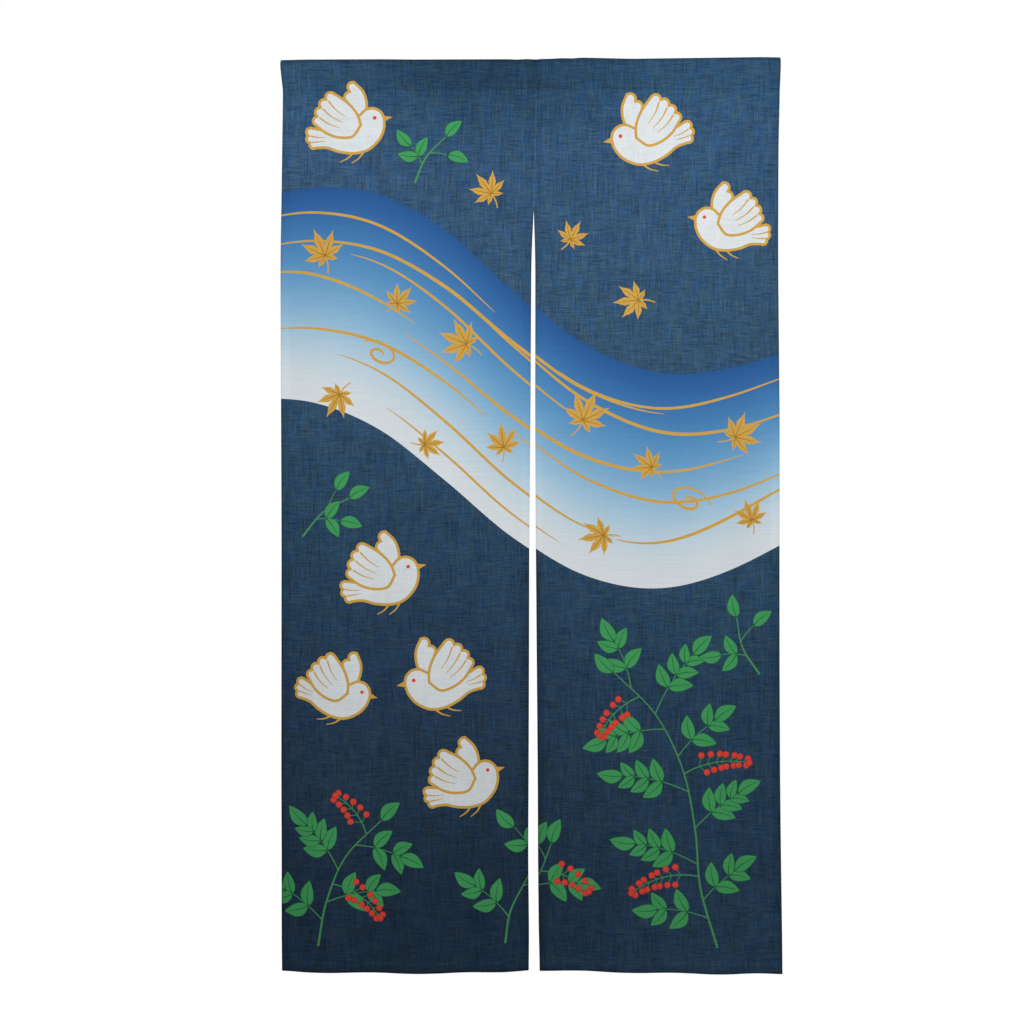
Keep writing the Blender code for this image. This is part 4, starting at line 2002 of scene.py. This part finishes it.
    @staticmethod
    def shade(mesh: bpy.types.Mesh, facing: Array, points: Array, rims: Array) -> None:
        """Shades both sides by the cloth's own curve, so that the cuts round the print don't show.

        Args:
            mesh: the panel's mesh.
            facing: which way the print faces at each point of the flat cloth.
            points: the mesh's points.
            rims: the cut edge's corners.
        """
        normals = np.zeros((len(mesh.loops), 3))
        corner = np.zeros(len(mesh.loops), np.int32)
        mesh.loops.foreach_get("vertex_index", corner)
        count = len(facing)
        sides = (len(mesh.loops) - rims.size) // 2
        normals[:sides] = facing[corner[:sides]]
        normals[sides : 2 * sides] = -facing[corner[sides : 2 * sides] - count]
        a, b, c = (points[rims[:, i]] for i in (0, 1, 3))
        normals[2 * sides :] = np.repeat(unit(np.cross(b - a, c - a)), 4, axis=0)
        mesh.normals_split_custom_set(normals.tolist())
        mesh.update()


# ---- The sewing ----


@dataclass
class Stitches:
    """Rows of machine stitches, made by a node tree from the lines that they follow.

    Attributes:
        length: one stitch.
        gap: between two stitches.
        width: the thread's width.
        sink: how far a stitch's ends sink into the cloth.
        from_side_hem: how far outside a side hem's inner edge its row runs.
        from_bottom_hem: how far below the bottom hem's inner edge its row runs.
    """

    length: float = 2.5 * MM
    gap: float = 0.6 * MM
    width: float = 0.28 * MM
    sink: float = 0.22 * MM
    from_side_hem: float = 2.2 * MM
    from_bottom_hem: float = 1.8 * MM

    def lines(self, hang: Hang) -> list[tuple[Array, Array]]:
        """Every sewn line of a panel: each hem's, seen from the front and from behind.

        Args:
            hang: how the panel hangs.

        Returns:
            For each line, how far its points lie over from the panel's left side and down.
        """
        foot = DROP - BOTTOM_HEM + self.from_bottom_hem
        turned = BOTTOM_HEM - BOTTOM_ARC_START - self.from_bottom_hem
        foot_behind = DROP - BOTTOM_ARC_START + BOTTOM_ARC + turned
        down = np.arange(STITCH_DEPTH + 3 * MM, DROP - 3 * MM, 4 * MM)
        over = np.arange(2 * MM, hang.width - 2 * MM, 2 * MM)
        insets = [hem - self.from_side_hem for hem in hang.hems]
        behind = [math.pi * HEM_RADIUS - 2.0 * EDGE + inset for inset in insets]
        places = (insets[0], -behind[0], hang.width - insets[1], hang.width + behind[1])
        made = [(np.full_like(down, place), down) for place in places]
        rows = (STITCH_DEPTH, -STITCH_DEPTH, foot, foot_behind)
        return made + [(over, np.full_like(over, row)) for row in rows]

    def paths(self, name: str, hang: Hang, design: PrintDesign) -> bpy.types.Object:
        """The lines as a mesh of edges that carries the way the cloth faces and the print under them.

        Args:
            name: the name of the mesh.
            hang: how the panel hangs.
            design: the whole curtain's print.

        Returns:
            The lines' object.
        """
        lines = self.lines(hang)
        over, down = np.hstack(lines)
        points, facing = hang.hung(over, down)
        points = points + facing * (0.5 * CLOTH + 0.2 * self.width)
        inks, _ = design.printed(xy((over + hang.over) / MM, down / MM)[:, None, :])
        ends = np.cumsum([len(line[0]) for line in lines])
        edges = [(i, i + 1) for i in range(len(points) - 1) if i + 1 not in ends]
        mesh = bpy.data.meshes.new(name)
        mesh.from_pydata(points.tolist(), edges, [])
        facing = facing.astype(np.float32)
        mesh.attributes.new("facing", "FLOAT_VECTOR", "POINT").data.foreach_set("vector", facing.ravel())
        inks = np.hstack([inks[:, 0], np.ones((len(inks), 1))]).astype(np.float32)
        mesh.attributes.new("print", "FLOAT_COLOR", "POINT").data.foreach_set("color", inks.ravel())
        return new_object(name, mesh)

    def tree(self) -> bpy.types.NodeTree:
        """The node tree: a bowed, blunt stitch at every step along each line.

        Returns:
            The tree.
        """
        tree = bpy.data.node_groups.new("stitch_rows", "GeometryNodeTree")
        tree.interface.new_socket("Lines", in_out="INPUT", socket_type="NodeSocketGeometry")
        for name in ("Stitch length", "Gap", "Thread width", "Sink"):
            tree.interface.new_socket(name, in_out="INPUT", socket_type="NodeSocketFloat")
        tree.interface.new_socket("Thread", in_out="INPUT", socket_type="NodeSocketMaterial")
        tree.interface.new_socket("Stitches", in_out="OUTPUT", socket_type="NodeSocketGeometry")
        node, math_node = partial(add_node, tree), partial(add_math, tree)
        given = node("NodeGroupInput").outputs
        length, width = given["Stitch length"], given["Thread width"]
        pitch = math_node("ADD", length, given["Gap"])
        curve = node("GeometryNodeMeshToCurve", {"Mesh": given["Lines"]}).outputs[0]
        spaced = node("GeometryNodeResampleCurve", {"Curve": curve, "Length": pitch}, mode="LENGTH")
        radius = math_node("MULTIPLY", width, 0.5)
        sizes = {"Vertices": 5, "Side Segments": 4, "Radius": radius, "Depth": length}
        tube = node("GeometryNodeMeshCylinder", sizes).outputs["Mesh"]
        laid = node("GeometryNodeTransform", {"Geometry": tube, "Rotation": (0.0, 0.5 * math.pi, 0.0)})
        place = node("GeometryNodeInputPosition").outputs[0]
        share = math_node("DIVIDE", node("ShaderNodeSeparateXYZ", {0: place}).outputs[0], length)
        drop = math_node("MULTIPLY", math_node("MULTIPLY", share, share), given["Sink"])
        offset = node("ShaderNodeCombineXYZ", {2: math_node("MULTIPLY", drop, -4.0)}).outputs[0]
        bowed = node("GeometryNodeSetPosition", {"Geometry": laid.outputs[0], "Offset": offset})
        facing = node("GeometryNodeInputNamedAttribute", {"Name": "facing"}, data_type="FLOAT_VECTOR")
        axes = {0: facing.outputs[0], 1: node("GeometryNodeInputTangent").outputs[0]}
        turned = node("FunctionNodeAxesToRotation", axes, primary_axis="Z", secondary_axis="X")
        inputs = {"Points": spaced.outputs[0], "Instance": bowed.outputs[0], "Rotation": turned.outputs[0]}
        rows = node("GeometryNodeInstanceOnPoints", inputs).outputs[0]
        real = node("GeometryNodeRealizeInstances", {0: rows}).outputs[0]
        inked = node("GeometryNodeSetMaterial", {"Geometry": real, "Material": given["Thread"]}).outputs[0]
        node("NodeGroupOutput", {0: inked})
        return tree

    def build(self, panel: Panel, thread: bpy.types.Material, tree: bpy.types.NodeTree) -> bpy.types.Object:
        """A panel's stitches as one plain mesh.

        Args:
            panel: the panel that they hold.
            thread: the thread's material.
            tree: the node tree that makes them.

        Returns:
            The stitches' object.
        """
        name = panel.name.replace("cloth", "stitches")
        paths = self.paths(name + "_lines", panel.hang, panel.design)
        modifier = paths.modifiers.new("stitches", "NODES")
        modifier.node_group = tree
        values = {
            "Stitch length": self.length,
            "Gap": self.gap,
            "Thread width": self.width,
            "Sink": self.sink,
            "Thread": thread,
        }
        for item in tree.interface.items_tree:
            if item.in_out == "INPUT" and item.name in values:
                modifier[item.identifier] = values[item.name]
        shown = paths.evaluated_get(bpy.context.evaluated_depsgraph_get())
        mesh = bpy.data.meshes.new_from_object(shown)
        mesh.name = name
        bpy.data.objects.remove(paths)
        mesh.materials.clear()
        mesh.materials.append(thread)
        mesh.shade_smooth()
        LOG.info("%s: %d faces", name, len(mesh.polygons))
        return new_object(name, mesh)


# ---- The studio ----


class Lamp(NamedTuple):
    """One soft box: its power in watts, where it hangs, what it points at, and its width and height."""

    name: str
    power: float
    at: tuple[float, float, float]
    aim: tuple[float, float, float]
    size: tuple[float, float]


@dataclass(frozen=True)
class Studio:
    """A bright white room: a pale floor, soft boxes before and behind, and a square camera.

    Attributes:
        camera_at: where the camera stands, looking along +Y.
        lens: its focal length, in millimetres.
        sensor: its sensor's width, in millimetres.
        floor_at: the floor's height.
        floor_radius: the floor's radius.
        ambient: how bright the room is where the camera doesn't see it.
        lamps: the soft boxes; the front one hangs high, so that the light falls off downwards.
    """

    camera_at: tuple = (-0.0309, -4.652, -0.744)
    lens: float = 100.0
    sensor: float = 36.0
    floor_at: float = -2.10
    floor_radius: float = 0.80
    ambient: float = 0.10
    lamps: tuple[Lamp, ...] = (
        Lamp("key", 33.6, (0.15, -1.90, -0.15), (0.15, 0.0, -0.15), (1.7, 0.7)),
        Lamp("rear", 35.0, (0.30, 1.90, -0.45), (0.0, 0.0, -0.45), (1.7, 0.9)),
    )

    def floor(self) -> None:
        """A round pale floor."""
        bm = bmesh.new()
        bmesh.ops.create_circle(bm, cap_ends=True, segments=96, radius=self.floor_radius)
        mesh = bpy.data.meshes.new("floor")
        bm.to_mesh(mesh)
        bm.free()
        mesh.transform(Matrix.Translation((0.0, 0.0, self.floor_at)))
        sheet = NodeSheet("pale_floor")
        place = sheet.node("ShaderNodeTexCoord").outputs["Object"]
        cloud = sheet.spread(sheet.noise(place, (6.0, 6.0, 6.0), 0.0, 3.0), 0.3, 0.7, 0.0, 1.0)
        colour = sheet.mixed(cloud, (0.58, 0.58, 0.57, 1.0), (0.64, 0.64, 0.635, 1.0))
        sheet.tree.links.new(colour, sheet.shader.inputs["Base Color"])
        sheet.shader.inputs["Roughness"].default_value = 0.7
        mesh.materials.append(sheet.material)
        new_object("floor", mesh)

    def world(self) -> None:
        """White behind the curtain, and a soft even light from all round."""
        world = bpy.data.worlds.new("white_room")
        bpy.context.scene.world = world
        world.use_nodes = True
        tree = world.node_tree
        white = (1.0, 1.0, 1.0, 1.0)
        lit = tree.nodes["Background"]
        lit.inputs["Color"].default_value = white
        lit.inputs["Strength"].default_value = self.ambient
        seen = add_node(tree, "ShaderNodeBackground", {"Color": white})
        direct = add_node(tree, "ShaderNodeLightPath").outputs["Is Camera Ray"]
        mix = add_node(tree, "ShaderNodeMixShader", {0: direct, 1: lit.outputs[0], 2: seen.outputs[0]})
        tree.links.new(mix.outputs[0], tree.nodes["World Output"].inputs["Surface"])

    def light(self, lamp: Lamp) -> None:
        """Hangs one soft box.

        Args:
            lamp: its power, size and place.
        """
        data = bpy.data.lights.new(lamp.name, "AREA")
        data.shape = "RECTANGLE"
        data.size, data.size_y = lamp.size
        data.energy = lamp.power
        made = new_object(lamp.name, data)
        made.location = lamp.at
        made.rotation_euler = (Vector(lamp.aim) - Vector(lamp.at)).to_track_quat("-Z", "Y").to_euler()

    def camera(self) -> None:
        """The camera, level and square to the curtain."""
        data = bpy.data.cameras.new("camera")
        data.lens = self.lens
        data.sensor_width = self.sensor
        made = new_object("camera", data)
        made.location = self.camera_at
        made.rotation_euler = (0.5 * math.pi, 0.0, 0.0)
        bpy.context.scene.camera = made

    def build(self) -> None:
        """Sets up the room."""
        self.floor()
        self.world()
        for lamp in self.lamps:
            self.light(lamp)
        self.camera()
        bpy.context.scene.view_settings.view_transform = "Standard"
        LOG.info("studio: floor, room light, %d soft boxes and camera", len(self.lamps))


@dataclass
class Curtain:
    """The whole curtain: two printed panels and their sewing."""

    cloth: PrintedCloth = field(default_factory=PrintedCloth)
    thread: SewingThread = field(default_factory=SewingThread)
    stitches: Stitches = field(default_factory=Stitches)
    design: PrintDesign = field(default_factory=PrintDesign)

    def build(self) -> None:
        face, back = self.cloth.build(ClothSide.FACE), self.cloth.build(ClothSide.BACK)
        thread = self.thread.build()
        tree = self.stitches.tree()
        for name, hang in (("left_panel", LEFT), ("right_panel", RIGHT)):
            panel = Panel(name + "_cloth", hang, self.design)
            cloth = panel.build(face, back)
            sewn = self.stitches.build(panel, thread, tree)
            for piece, slot in ((cloth, "printed_cloth"), (sewn, "sewing_thread")):
                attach(piece, BODY)
            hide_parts(name, "heading")


def main() -> None:
    """Builds the curtain and its studio round the frame, and notes both sizes."""
    logging.basicConfig(level=logging.INFO, format="%(name)s: %(message)s")
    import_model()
    Curtain().build()
    Studio().build()
    bpy.context.view_layer.update()


if __name__ == "__main__":
    main()
